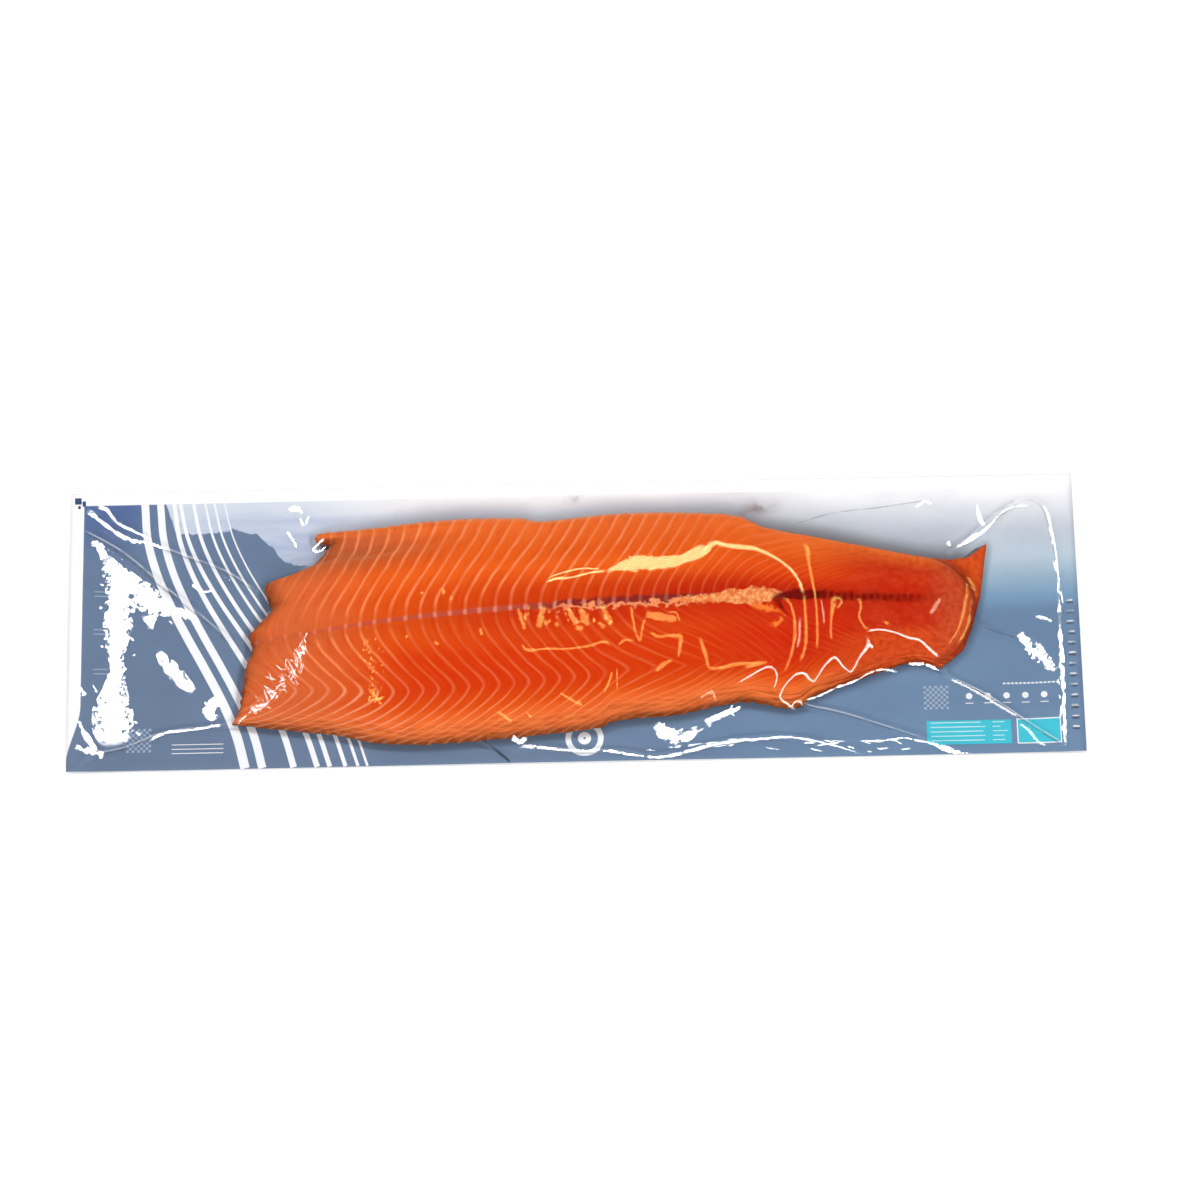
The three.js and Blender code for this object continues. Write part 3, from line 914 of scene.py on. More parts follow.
def build_salmon_fillet():
    spread = np.linspace(-1, 1, FILLET_ROWS)
    shares = spread * (1.5 - 0.5 * spread ** 2) * 0.6 + spread * 0.4
    ends = np.linspace(-1, 1, FILLET_COLUMNS)
    alongs = (ends * (1.5 - 0.5 * ends ** 2) * 0.35 + ends * 0.65 + 1) / 2
    share, along = np.meshgrid(shares, alongs, indexing="ij")
    x, y = fillet_place(along, share)
    z = flesh_top(x, y, along, share)
    phase = line_phase(x, share)

    # How far apart the lines are at each place, measured across them.
    phase_rows, phase_columns = np.gradient(phase)
    x_rows, x_columns = np.gradient(x)
    y_rows, y_columns = np.gradient(y)
    area = x_rows * y_columns - x_columns * y_rows
    length = tail_end(share) - head_end(share)
    slope_x = (phase_rows * y_columns - phase_columns * y_rows) / area
    slope_y = (phase_columns * x_rows - phase_rows * x_columns) / area
    gap = np.clip(1 / np.maximum(np.hypot(slope_x, slope_y), 1e-6), 0.5, 12)

    # The edges are a little ragged, and the flakes stand up a little between their lines.
    ragged = np.abs(waves(x, 0 * y, 16)) * 0.5 + np.abs(waves(x, 0 * y, 6)) * 0.2
    y = y - np.sign(share) * ragged * np.abs(share) ** 12
    torn_end = np.abs(waves(0 * x, y, 11)) * 0.9 + np.abs(waves(0 * x, y, 4)) * 0.5
    x = x + torn_end * (1 - along) ** 24
    inner = smooth(1, 0.86, np.abs(share)) * smooth(0, 0.03, along) * smooth(1, 0.97, along)
    z = z + 0.1 * (np.sqrt(np.abs(np.sin(np.pi * phase))) - 0.7) * inner

    off_line = y - midline(x)
    past_dome = (dome_reach(x, y) - 1) * smooth(190, 215, x) - smooth(215, 190, x)
    facts = {
        "across": share, "at_length": x, "off_midline": off_line, "flake": phase, "flake_gap": gap,
        "from_head": along * length, "line_strength": line_strength(x, y, share), "past_dome": past_dome,
        "strip_depth": curved(STRIP_HALF)(x) - np.abs(off_line), "fat_depth": chain_depth(x, y, FAT_PATCH),
        "run_depth": chain_depth(x, y, FAT_RUN), "notch_depth": chain_depth(x, y, NOTCH),
    }
    top = np.stack([x.ravel(), y.ravel(), z.ravel()], 1)
    rim = grid_rim(FILLET_ROWS, FILLET_COLUMNS)
    centre = np.array([20.0, 0.0, 0.0])
    lower = top[rim] * [1, 1, 0] + [0, 0, SKIN_LEVEL + SKIN_LIFT]
    inset = centre + (lower - centre) * [1 - SKIN_ROUNDING / 2, 1 - SKIN_ROUNDING, 0] + [0, 0, SKIN_LEVEL]
    count, size = len(top), len(rim)
    steps = np.arange(size)
    turned = np.roll(steps, -1)
    outer, inner_loop = count + steps, count + size + steps
    wall = np.stack([outer, count + turned, np.roll(rim, -1), rim], 1).tolist()
    chamfer = np.stack([inner_loop, count + size + turned, count + turned, outer], 1).tolist()
    cap = [inner_loop[::-1].tolist()]
    faces = grid_faces(FILLET_ROWS, FILLET_COLUMNS)
    all_points = np.concatenate([np.arange(count), rim, rim])
    under_facts = {name: values.ravel()[all_points] for name, values in facts.items()}
    return make_piece(
        "salmon_flesh", np.concatenate([top, lower, inset]), faces + wall + chamfer + cap,
        [salmon_flesh_material(), salmon_skin_material()], "salmon_fillet", under_facts,
        [0] * len(faces) + [1] * (len(wall) + len(chamfer) + 1),
    )


build_salmon_fillet()

# ---------------------------------------------------------------------------------------------
# The camera and the lamps, which the film's facets are turned to, and places taken from the photo
# ---------------------------------------------------------------------------------------------

AIM = np.array([17.2, 15.4, 0.0])
CAMERA_ELEVATION = math.radians(70)
CAMERA_ROLL = math.radians(-1.19)
CAMERA_DISTANCE = 3000.0
CAMERA_LENS = 139.5
CAMERA_AT = AIM + CAMERA_DISTANCE * np.array([0, -math.cos(CAMERA_ELEVATION), math.sin(CAMERA_ELEVATION)])

SENSOR_WIDTH = 36
PHOTO_SIDE = 1200  # pixels across the photo, and down it
PHOTO_REACH = CAMERA_LENS / SENSOR_WIDTH * PHOTO_SIDE  # the lens's length, in the photo's pixels
PHOTO_PIXEL = CAMERA_DISTANCE / PHOTO_REACH  # what one pixel shows at the distance of the pack
SETTLING_ROUNDS = 12

GLINT_LAMP_AT = np.array([-900.0, -300.0, 1300.0])


def camera_axes():
    """The camera's right, its up, and the way back to it from what it looks at."""
    back = Vector(CAMERA_AT - AIM).normalized()
    right = Vector((0, 0, 1)).cross(back).normalized()
    up = back.cross(right)
    rolled_right = math.cos(CAMERA_ROLL) * right + math.sin(CAMERA_ROLL) * up
    rolled_up = math.cos(CAMERA_ROLL) * up - math.sin(CAMERA_ROLL) * right
    return rolled_right, rolled_up, back


def from_photo(route):
    """A route given in the photo's pixels (across, down, size), as places (x, y, size)."""
    right, up, back = (np.array(axis) for axis in camera_axes())
    across, down, size = np.array(route, float).T
    middle = PHOTO_SIDE / 2
    sight = np.outer(across - middle, right) - np.outer(down - middle, up)
    sight = sight / PHOTO_REACH - back
    surface = np.full(len(route), BACKING_THICKNESS)
    for _ in range(SETTLING_ROUNDS):  # the place settles on the flesh or the backing that is seen there
        reach = (surface - CAMERA_AT[2]) / sight[:, 2]
        x, y, _ = (CAMERA_AT + reach[:, None] * sight).T
        along, share, inside = fillet_shares(x, y)
        seen = np.where(inside, flesh_top(x, y, along, share), BACKING_THICKNESS)
        surface = (surface + seen) / 2
    return list(zip(x, y, size))


def build_camera():
    rolled_right, rolled_up, back = camera_axes()
    data = bpy.data.cameras.new("camera")
    data.lens = CAMERA_LENS
    data.sensor_width = SENSOR_WIDTH
    data.clip_end = 20
    camera = bpy.data.objects.new("camera", data)
    turned = Matrix((rolled_right, rolled_up, back)).transposed().to_4x4()
    camera.matrix_world = Matrix.Translation(Vector(CAMERA_AT * MM)) @ turned
    bpy.context.scene.collection.objects.link(camera)
    bpy.context.scene.camera = camera


def build_lamp(name, at, size, radiance, aim=(0, 0, 0), glint=False):
    """A lit rectangle that faces its aim. A softbox lights the pack, and a glint lamp shows in the gloss."""
    data = bpy.data.lights.new(name, "AREA")
    data.shape = "RECTANGLE"
    data.size, data.size_y = (side * MM for side in size)
    data.energy = radiance * math.pi * data.size * data.size_y
    lamp = bpy.data.objects.new(name, data)
    lamp.location = Vector(at) * MM
    lamp.rotation_euler = (Vector(aim) - Vector(at)).to_track_quat("-Z", "Y").to_euler()
    lamp.visible_glossy = glint
    lamp.visible_diffuse = not glint
    bpy.context.scene.collection.objects.link(lamp)


FLOOR_REACH = 6.0  # in metres, as is the floor's level
FLOOR_LEVEL = -0.0004


def build_studio():
    build_lamp("key_softbox", (250, 200, 1500), (550, 150), 26, aim=(50, 0, 0))
    build_lamp("left_softbox", (-700, 500, 1400), (240, 320), 22, aim=(-250, 0, 0))
    build_lamp("front_fill", (100, -1200, 1300), (1000, 600), 4)
    build_lamp("glint_lamp", GLINT_LAMP_AT, (120, 120), 26, glint=True)
    world = bpy.data.worlds.new("studio")
    world.use_nodes = True
    world.node_tree.nodes["Background"].inputs["Color"].default_value = (1, 1, 1, 1)
    world.node_tree.nodes["Background"].inputs["Strength"].default_value = 0.84
    bpy.context.scene.world = world
    bpy.context.scene.view_settings.view_transform = "Standard"

    material, nodes = new_material("studio_floor")
    cloudy = nodes.noise(3, detail=2)
    colour = nodes.mix(cloudy, (0.93, 0.93, 0.935, 1), (0.96, 0.96, 0.96, 1))
    finish_principled(nodes, colour, 0.9, Specular_IOR_Level=0.1)
    mesh = bpy.data.meshes.new("studio_floor")
    corners = ((-1, -1), (1, -1), (1, 1), (-1, 1))
    points = [(FLOOR_REACH * x, FLOOR_REACH * y, FLOOR_LEVEL) for x, y in corners]
    mesh.from_pydata(points, [], [(0, 1, 2, 3)])
    mesh.materials.append(material)
    floor = bpy.data.objects.new("studio_floor", mesh)
    bpy.context.scene.collection.objects.link(floor)


build_camera()
build_studio()

# ---------------------------------------------------------------------------------------------
# The clear film
# ---------------------------------------------------------------------------------------------

FILM_ROWS = 181
FILM_COLUMNS = 521
FILM_LIFT = 0.3
FILM_SAG = 0.3  # how sharply the vacuum bends the film, per millimetre
RELAX_STEPS = 420


def fold(half_width, seen, start=None, end=None):
    """A fold through places of the photo (across, down, height), with any ends set on the pack."""
    return half_width, [start] * bool(start) + from_photo(seen) + [end] * bool(end)


# Folds that stand up in the film.
FOLDS = {
    "corner": fold(2.6, [
        (94, 512, 0.5), (108, 529, 2.2), (136, 543, 2.4), (167, 551, 2.0), (209, 566, 1.6), (228, 574, 1.8),
    ], end=(-206, 26, 2.4)),
    "corner_side": fold(2.0, [
        (96, 511, 0.5), (108, 516, 1.4), (127, 528, 1.8), (150, 541, 1.2), (180, 553, 0.4),
    ]),
    "left": fold(2.6, [(123, 554, 2.4), (163, 587, 2.4), (200, 616, 2.0)], (-318, 70, 0.8), (-218, -12, 2.8)),
    "near_left": fold(2.2, [
        (94, 756, 1.8), (127, 748, 1.8), (163, 734, 1.6), (201, 729, 2.0),
    ], (-318, -92, 0.5), (-222, -65, 2.6)),
    "arch": fold(2.4, [
        (950, 553, 3.0), (971, 537, 2.4), (993, 518, 2.0), (1017, 502, 1.6), (1030, 501, 1.4),
        (1040, 507, 1.4), (1046, 522, 1.4), (1053, 552, 1.2), (1058, 590, 1.0),
    ]),
    "seal": fold(1.6, [(1058, 590, 0.9), (1061, 660, 0.9), (1063, 700, 0.9), (1065, 745, 0.8)]),
    "belly_corner": fold(2.2, [
        (942, 670, 3.0), (952, 679, 2.6), (985, 695, 2.0), (1025, 721, 1.6), (1063, 745, 1.0),
    ]),
    "right_middle": fold(1.6, [(993, 631, 1.2), (1016, 638, 0.3)], start=(255, -5, 2.0)),
    "bump": fold(2.4, [
        (800, 702, 2.6), (835, 712, 1.8), (870, 722, 1.4), (920, 738, 1.2),
    ], end=(245, -92, 0.4)),
    "near_wave": fold(2.4, [
        (534, 748, 1.4), (574, 751, 1.6), (623, 752, 1.6), (650, 756, 1.2), (686, 753, 1.4),
        (712, 745, 1.6), (748, 739, 1.8), (793, 738, 1.6), (824, 744, 1.0), (864, 755, 0.3),
    ], start=(-42, -86, 0.4)),
    "near_short": fold(1.8, [(495, 750, 1.2)], (-61, -79, 2.0), (-42, -94, 0.4)),
}

# Gathered film over the flesh: thin ridges, each with a half width.
GATHERS = [
    fold(1.7, [
        (804, 589, 1.2), (806, 605, 1.4), (807, 637, 1.2), (803, 657, 1.0),
    ], (134, 27, 0.2), (142, -43, 0.3)),
    fold(1.6, [
        (808, 553, 1.1), (812, 577, 1.2), (818, 613, 1.4), (818, 644, 1.0),
    ], (149, 46, 0.2), (153, -38, 0.2)),
    fold(1.5, [(791, 607, 1.0), (795, 634, 1.1), (791, 655, 0.9)], (132, 10, 0.2), (133, -44, 0.2)),
    (1.3, [(159, 9, 0.4), (160, -2, 0.9), (160, -15, 0.3)]),
    (1.3, [(166, 9, 0.4), (166, -3, 0.9), (164, -26, 0.2)]),
    fold(1.4, [(861, 605, 0.9), (859, 617, 0.9), (869, 630, 0.7)], start=(182, 10, 0.3)),
    fold(1.4, [
        (790, 708, 0.3), (780, 697, 0.8), (793, 677, 0.8), (804, 674, 0.9), (813, 682, 0.8),
        (824, 667, 0.8), (835, 658, 0.9), (843, 667, 0.8), (851, 672, 0.8), (860, 657, 0.9),
        (868, 645, 1.0), (868, 631, 0.9), (894, 633, 0.8), (918, 640, 0.8), (938, 656, 0.8),
    ]),
    (1.5, [(252, 22, 0.2), (256, 14, 0.9), (254, 2, 1.0), (250, -11, 0.9), (244, -20, 0.7), (234, -30, 0.2)]),
    (1.3, [(246, 14, 0.2), (247, -3, 0.7), (242, -15, 0.7), (233, -26, 0.2)]),
    fold(1.6, [
        (702, 636, 0.2), (706, 653, 0.8), (709, 669, 0.8), (735, 666, 0.8), (766, 665, 0.9), (777, 673, 0.6),
    ]),
    fold(1.5, [(526, 650, 0.2), (564, 652, 0.6), (583, 648, 0.6), (603, 643, 0.6)], end=(26, -26, 0.2)),
    fold(1.3, [(633, 625, 0.7), (640, 641, 0.7)], (37, 2, 0.2), (45, -9, 0.3)),
    fold(1.4, [(651, 633, 0.3), (664, 639, 0.7), (680, 638, 0.7)], end=(67, -31, 0.3)),
]


def film_grid():
    return np.meshgrid(
        np.linspace(-HALF_WIDTH, HALF_WIDTH, FILM_ROWS),
        np.linspace(-HALF_LENGTH, HALF_LENGTH, FILM_COLUMNS),
        indexing="ij",
    )


def ridge(x, y, half_width, places, spacing=0.8):
    """The height of a ridge through places (x, y, height), with a rounded crest."""
    line, _ = through(places, spacing)
    height = np.zeros(x.shape)
    reach = half_width * 2.2
    for at_x, at_y, crest in line:
        rows = np.abs(y[:, 0] - at_y) < reach
        columns = np.abs(x[0] - at_x) < reach
        window = np.ix_(rows, columns)
        off = np.hypot(x[window] - at_x, y[window] - at_y) / half_width
        height[window] = np.maximum(height[window], crest * np.exp(-off ** 2))
    return height


def relax(height, floor, cell_x, cell_y):
    """Let the film hang between what holds it up: it never sinks below the floor."""
    weight_x, weight_y = 1 / cell_x ** 2, 1 / cell_y ** 2
    total = 2 * (weight_x + weight_y)
    for _ in range(RELAX_STEPS):
        middle = weight_x * (height[1:-1, 2:] + height[1:-1, :-2])
        middle += weight_y * (height[2:, 1:-1] + height[:-2, 1:-1])
        height[1:-1, 1:-1] = np.maximum((middle - FILM_SAG) / total, floor[1:-1, 1:-1])
    return height


def film_height():
    """The film's height over its grid, and where it lies over the flesh."""
    y, x = film_grid()
    along, share, inside = fillet_shares(x, y)
    resting = BACKING_THICKNESS + curl(x, y)
    floor = np.where(inside, flesh_top(x, y, along, share), resting) + FILM_LIFT
    over_flesh = inside.astype(float)
    height = relax(floor.copy(), floor, x[0, 1] - x[0, 0], y[1, 0] - y[0, 0])
    for half_width, places in list(FOLDS.values()) + GATHERS:
        height += ridge(x, y, half_width, places)
    welded = smooth(HALF_LENGTH, HALF_LENGTH - 12, np.abs(x)) * smooth(HALF_WIDTH, HALF_WIDTH - 8, np.abs(y))
    height += welded * (1 - over_flesh) * 0.16 * (1 + waves(x, y, 34))
    crumple = np.exp(-(((x - 25) / 60) ** 4) - (((y + 18) / 26) ** 4))
    crumple = np.maximum(crumple, 0.7 * np.exp(-(((x + 95) / 26) ** 2) - (((y + 25) / 34) ** 2)))
    height += crumple * (0.10 * waves(x, y, 9) + 0.05 * waves(x, y, 4.5))
    return x, y, height, over_flesh, crumple


def facing_lamp(places):
    """The normals that mirror the glint lamp to the camera from these places."""
    to_camera = CAMERA_AT - places
    to_camera /= np.linalg.norm(to_camera, axis=1, keepdims=True)
    to_lamp = GLINT_LAMP_AT - places
    to_lamp /= np.linalg.norm(to_lamp, axis=1, keepdims=True)
    half = to_camera + to_lamp
    return half / np.linalg.norm(half, axis=1, keepdims=True)


def clear_film_material():
    material, nodes = new_material("clear_film")
    ripple = nodes.group(film_ripple, Crumple=nodes.fact("crumple"))
    relief = nodes.add("ShaderNodeBump")
    nodes.put(relief.inputs["Strength"], 0.2)
    nodes.put(relief.inputs["Distance"], 0.0006)
    nodes.put(relief.inputs["Height"], ripple.outputs["Height"])
    sheen = nodes.add("ShaderNodeFresnel")
    nodes.put(sheen.inputs["IOR"], 1.2)
    nodes.put(sheen.inputs["Normal"], relief.outputs[0])
    through_film = nodes.add("ShaderNodeBsdfTransparent")
    nodes.put(through_film.inputs["Color"], (1, 1, 1, 1))
    gloss = nodes.add("ShaderNodeBsdfGlossy")
    nodes.put(gloss.inputs["Color"], nodes.mix(nodes.fact("over_flesh"), (1, 1, 1, 1), FLESH_GLOSS))
    nodes.put(gloss.inputs["Roughness"], nodes.step(nodes.fact("welded"), 0.2, 0.8, 0.06, 0.4))
    nodes.put(gloss.inputs["Normal"], relief.outputs[0])
    film = nodes.add("ShaderNodeMixShader")
    nodes.put(film.inputs[0], sheen.outputs[0])
    nodes.put(film.inputs[1], through_film.outputs[0])
    nodes.put(film.inputs[2], gloss.outputs[0])
    output = nodes.add("ShaderNodeOutputMaterial")
    nodes.put(output.inputs["Surface"], film.outputs[0])
    return material


def build_clear_film():
    x, y, height, over_flesh, crumple = film_height()
    points = np.stack([x.ravel(), y.ravel(), height.ravel()], 1)
    facts = {"over_flesh": over_flesh, "crumple": crumple, "welded": smooth(311, 314, np.abs(x))}
    make_piece(
        "clear_top_film", points, grid_faces(FILM_ROWS, FILM_COLUMNS), [clear_film_material()],
        "clear_film", facts,
    )
    return height


film_z = build_clear_film()

# ---------------------------------------------------------------------------------------------
# Glints and creases: narrow strips of the film that the vacuum has turned or folded sharply, the creases with
# painted shade and highlights
# ---------------------------------------------------------------------------------------------

# How strips look: how gold they are, as over the flesh, how bright and how ragged.
LEFT_WHITE = (0, 1.1, 1.5)
NEAR_WHITE = (0, 1.1, 1.8)
FINE_WHITE = (0.22, 0.6, 0.4)
PINK = (0.45, 0.25, 0.6)
CREST_GOLD = (0.82, 0.6, 0.5)
FOLD_GOLD = (1, 0.27, 0.4)
SPECK_GOLD = (1, 0.27, 0.7)

# The look of some strips, how wide they are laid against how wide they were listed, and the strips, each
# through places given in the photo's pixels (across, down, half width).
GLINTS = [
    (LEFT_WHITE, 1.25, {
        "tall_upper": [(106, 556, 3), (117, 580, 10), (120, 610, 12), (117, 635, 11), (116, 655, 7),
            (117, 668, 6), (115, 690, 10), (113, 712, 16), (113, 735, 15), (113, 749, 7)],
    }),
    (LEFT_WHITE, 1.2, {
        "wing": [(108, 560, 3), (125, 580, 9), (145, 598, 12), (165, 608, 8), (182, 613, 4),
            (200, 622, 1.2)],
        "stray": [(158, 652, 3), (168, 665, 6), (182, 681, 6), (194, 692, 3)],
        "curl_blob": [(222, 700, 3), (214, 703, 6), (210, 712, 6), (216, 720, 3)],
    }),
    (LEFT_WHITE, 1, {
        "drip": [(150, 615, 8), (152, 630, 4)],
        "hook": [(92, 543, 3), (100, 548, 4), (106, 560, 5)],
        "corner_a": [(88, 512, 3), (98, 520, 2), (112, 531, 2.2), (130, 541, 2.6), (150, 545, 1.5),
            (170, 552, 1)],
        "corner_b": [(98, 508, 2), (108, 512, 2), (118, 524, 1.4), (140, 535, 1.2), (152, 541, 1)],
        "margin_bit": [(80, 690, 2), (86, 697, 2.5)],
        "margin_wedge": [(79, 722, 1.5), (88, 740, 3.5), (98, 754, 2)],
        "corner_low": [(76, 748, 3), (88, 752, 4), (104, 757, 3)],
        "near_left_line": [(150, 741, 1), (165, 734, 1.4), (192, 731, 1), (222, 726, 1.6)],
        "print_fold": [(192, 585, 2), (205, 592, 1.2), (214, 590, 1)],
        "blob_up_2": [(288, 511, 1.5), (298, 510, 3), (303, 514, 1)],
        "speck_up": [(300, 518, 1), (304, 526, 1.5), (309, 516, 1)],
    }),
    (LEFT_WHITE, 0.9, {
        "blob_up": [(287, 532, 1.4), (293, 541, 1.8), (297, 548, 1.2)],
    }),
    (NEAR_WHITE, 1.2, {
        "near_patch": [(656, 724, 3), (664, 733, 6), (676, 738, 6), (690, 735, 4), (697, 728, 2)],
        "right_patch": [(1020, 633, 3), (1026, 642, 5), (1032, 652, 4), (1034, 660, 2)],
        "right_patch_2": [(1038, 644, 2), (1042, 655, 4), (1049, 666, 5), (1055, 672, 3)],
    }),
    (NEAR_WHITE, 1, {
        "near_patch_2": [(704, 722, 2), (716, 718, 3), (730, 712, 2.4), (741, 708, 1)],
        "near_bits": [(512, 738, 2), (520, 743, 2.5), (527, 739, 1.5)],
        "near_right": [(900, 737, 0.8), (930, 744, 1.2), (948, 750, 3), (965, 755, 2.2), (985, 757, 0.8)],
        "near_right_2": [(905, 738, 0.6), (880, 741, 1.2), (860, 741, 0.6)],
        "right_patch_3": [(1035, 617, 1), (1043, 619, 2), (1052, 623, 1)],
        "seal_lower": [(1060, 630, 1), (1061, 650, 2.4), (1062, 670, 2.6), (1063, 690, 2),
            (1064, 715, 1.6), (1065, 740, 2)],
        "arch_spur": [(977, 505, 1.6), (979, 516, 2), (983, 527, 2)],
        "dot": [(948, 541, 2), (949, 547, 2.6)],
    }),
    (NEAR_WHITE, 0.67, {
        "near_wave": [(516, 750, 1.2), (524, 747, 3), (545, 749, 2.2), (580, 752, 1.6), (601, 751, 2.2),
            (640, 757, 2), (665, 758, 2.4), (686, 753, 2.8), (712, 746, 2.6), (735, 742, 2.4),
            (760, 740, 2.2), (786, 738, 1.8), (811, 741, 1.6), (837, 747, 1.2), (862, 755, 1)],
        "far_line": [(540, 495, 1), (565, 492, 3), (590, 495, 1.5)],
        "far_line_2": [(915, 508, 1), (925, 502, 2), (932, 504, 1)],
        "belly_line_2": [(908, 665, 1.5), (925, 666, 1.8), (940, 672, 1.5)],
    }),
    (NEAR_WHITE, 0.73, {
        "arch_line": [(955, 550, 1), (966, 543, 2.6), (980, 534, 3), (990, 526, 2), (1000, 515, 1),
            (1015, 507, 1), (1030, 506, 1)],
    }),
    (FINE_WHITE, 1, {
        "seal_upper": [(1043, 506, 1), (1048, 517, 1.4), (1052, 535, 1), (1056, 560, 1), (1059, 590, 1)],
        "corner_line": [(950, 680, 1), (975, 692, 1.2), (1000, 707, 1.2), (1018, 718, 1)],
        "panel_lines": [(1020, 724, 1), (1030, 732, 1.4), (1038, 742, 1.4), (1046, 746, 1)],
        "zigzag": [(803, 708, 0.8), (797, 702, 0.9), (790, 708, 0.6)],
        "zigzag_b": [(797, 712, 1), (790, 706, 1), (780, 697, 0.8), (793, 677, 0.8), (804, 674, 1.4),
            (813, 682, 0.9), (824, 667, 0.9), (835, 658, 1.1), (843, 667, 0.9), (851, 672, 0.9),
            (860, 657, 1), (868, 646, 2), (867, 636, 1)],
        "zigzag_c": [(867, 632, 1), (880, 630, 1), (895, 633, 1), (908, 638, 1.1), (920, 641, 1.2),
            (930, 650, 1.4), (939, 658, 1.4)],
        "spark": [(874, 648, 1), (868, 645, 2.5)],
        "lobe_white": [(738, 683, 0.8), (752, 675, 0.9), (765, 668, 1), (772, 668, 0.8), (777, 675, 0.8),
            (774, 690, 0.6)],
    }),
    (PINK, 1, {
        "fold_d": [(821, 600, 0.8), (823, 612, 1.4), (824, 624, 0.8)],
        "pink_1": [(800, 618, 1.5), (799, 640, 1.5), (797, 648, 1)],
        "pale_patch": [(940, 598, 1.5), (936, 606, 2.5), (930, 614, 1.5)],
        "lobe_pink": [(700, 698, 1), (712, 692, 1.4), (716, 702, 1)],
    }),
    (CREST_GOLD, 1.43, {
        "crest": [(606, 572, 1.5), (616, 568, 2.5), (632, 564, 6.5), (645, 563, 6), (662, 563, 5.5),
            (680, 560, 4.5), (696, 553, 5), (704, 550, 5), (708, 548, 3)],
    }),
    (CREST_GOLD, 1, {
        "crest_b": [(704, 556, 1), (708, 548, 4), (715, 543, 3.4), (724, 545, 3), (740, 547, 3.2),
            (755, 549, 2.6), (768, 554, 2), (780, 561, 1.6), (792, 571, 1.6), (800, 584, 1.8),
            (804, 595, 1.4)],
        "crest_left": [(546, 582, 1.2), (556, 579, 1.4), (570, 578, 1.2), (590, 573, 1.2), (606, 571, 1.6)],
        "crest_left_b": [(548, 578, 0.8), (562, 573, 0.8), (580, 569, 0.8), (600, 569, 0.8)],
    }),
    (FOLD_GOLD, 1.35, {
        "fold_a": [(804, 595, 1.2), (805, 610, 1.1), (806, 630, 1.2), (805, 648, 1.2), (800, 662, 1)],
        "fold_b": [(803, 543, 1.4), (807, 549, 1.8), (809, 565, 1.2), (812, 580, 1.2), (815, 597, 1),
            (817, 620, 0.9), (817, 650, 0.8)],
        "fold_c": [(783, 597, 1), (790, 604, 1), (794, 618, 1.2), (795, 635, 1.3), (791, 655, 1),
            (785, 672, 0.8)],
        "fold_e": [(833, 597, 2), (833, 605, 2), (831, 620, 1), (831, 640, 0.8)],
        "fold_f": [(858, 598, 1.3), (861, 605, 1.1), (859, 617, 1), (863, 625, 1), (868, 630, 1)],
        "tail_1": [(966, 577, 1.2), (971, 583, 1.8), (974, 592, 1.8), (973, 604, 1.8), (970, 618, 1.4),
            (965, 632, 1), (957, 645, 0.8)],
        "tail_2": [(966, 582, 1), (967, 592, 1.1), (965, 604, 1.5), (963, 614, 1.2), (958, 630, 0.8),
            (948, 645, 0.7)],
        "lobe_fold": [(700, 637, 1), (703, 648, 1.6), (707, 660, 1.4), (709, 668, 1), (722, 668, 1.3),
            (738, 664, 1.6), (750, 664, 1.4), (762, 662, 1)],
        "lobe_fold_b": [(745, 668, 1), (757, 665, 1.4), (768, 662, 0.7)],
        "box_line": [(668, 612, 0.6), (676, 613, 0.8), (680, 622, 0.6)],
        "v_line": [(631, 606, 1.2), (633, 620, 1), (636, 634, 0.9), (640, 641, 0.8), (642, 630, 0.8),
            (645, 618, 1)],
        "square": [(650, 632, 0.8), (658, 637, 1.4), (667, 636, 1.2), (680, 637, 2), (680, 648, 1.4),
            (678, 658, 0.8)],
        "long_line": [(521, 643, 1), (527, 650, 1.3), (545, 649, 0.9), (570, 649, 0.9), (590, 646, 1),
            (604, 642, 1.1), (611, 646, 0.9)],
        "long_line_b": [(618, 645, 1), (626, 640, 1), (634, 641, 0.8)],
        "dash_1": [(560, 693, 1), (570, 699, 1.1), (582, 706, 1)],
        "dash_2": [(497, 712, 1), (504, 716, 1.2), (512, 722, 1)],
    }),
    (FOLD_GOLD, 1, {
        "fold_e_hook": [(833, 598, 1.5), (840, 599, 2), (842, 602, 1.5), (837, 609, 1.6)],
        "dot_low": [(884, 621, 1), (889, 625, 2)],
        "dash_1b": [(578, 700, 0.8), (583, 707, 0.8)],
        "dash_2b": [(526, 712, 0.8), (532, 718, 1)],
    }),
    (SPECK_GOLD, 1.8, {
        "drop_1": [(518, 608, 0.8), (521, 618, 1.2), (525, 630, 0.8)],
        "drop_2": [(543, 606, 1.8), (541, 618, 2), (539, 628, 1.6)],
        "drop_3": [(568, 608, 1.2), (572, 616, 1.8), (577, 625, 1.6)],
        "drop_4": [(580, 608, 1.4), (584, 618, 2.2), (588, 626, 1.5)],
        "drop_7": [(602, 605, 1.2), (606, 615, 1.6), (611, 625, 1.2)],
        "drop_8": [(598, 622, 1), (605, 628, 1.4)],
    }),
    (SPECK_GOLD, 1.33, {
        "drop_5": [(556, 622, 2), (558, 627, 1.6)],
        "drop_6": [(575, 628, 2.4), (584, 629, 1.6)],
        "dash_3": [(612, 672, 0.8), (609, 683, 1), (604, 692, 0.8)],
        "dash_4": [(617, 668, 0.6), (617, 690, 0.6)],
        "speck_a": [(443, 588, 1.2), (444, 595, 1.4)],
        "speck_b": [(449, 600, 1.4), (453, 597, 1)],
        "speck_c": [(420, 594, 1.2), (424, 592, 0.8)],
        "speck_d": [(480, 628, 1), (482, 636, 1.6)],
        "speck_e": [(434, 642, 1.4), (439, 645, 1)],
        "speck_f": [(406, 636, 1.2), (408, 638, 1.2)],
    }),
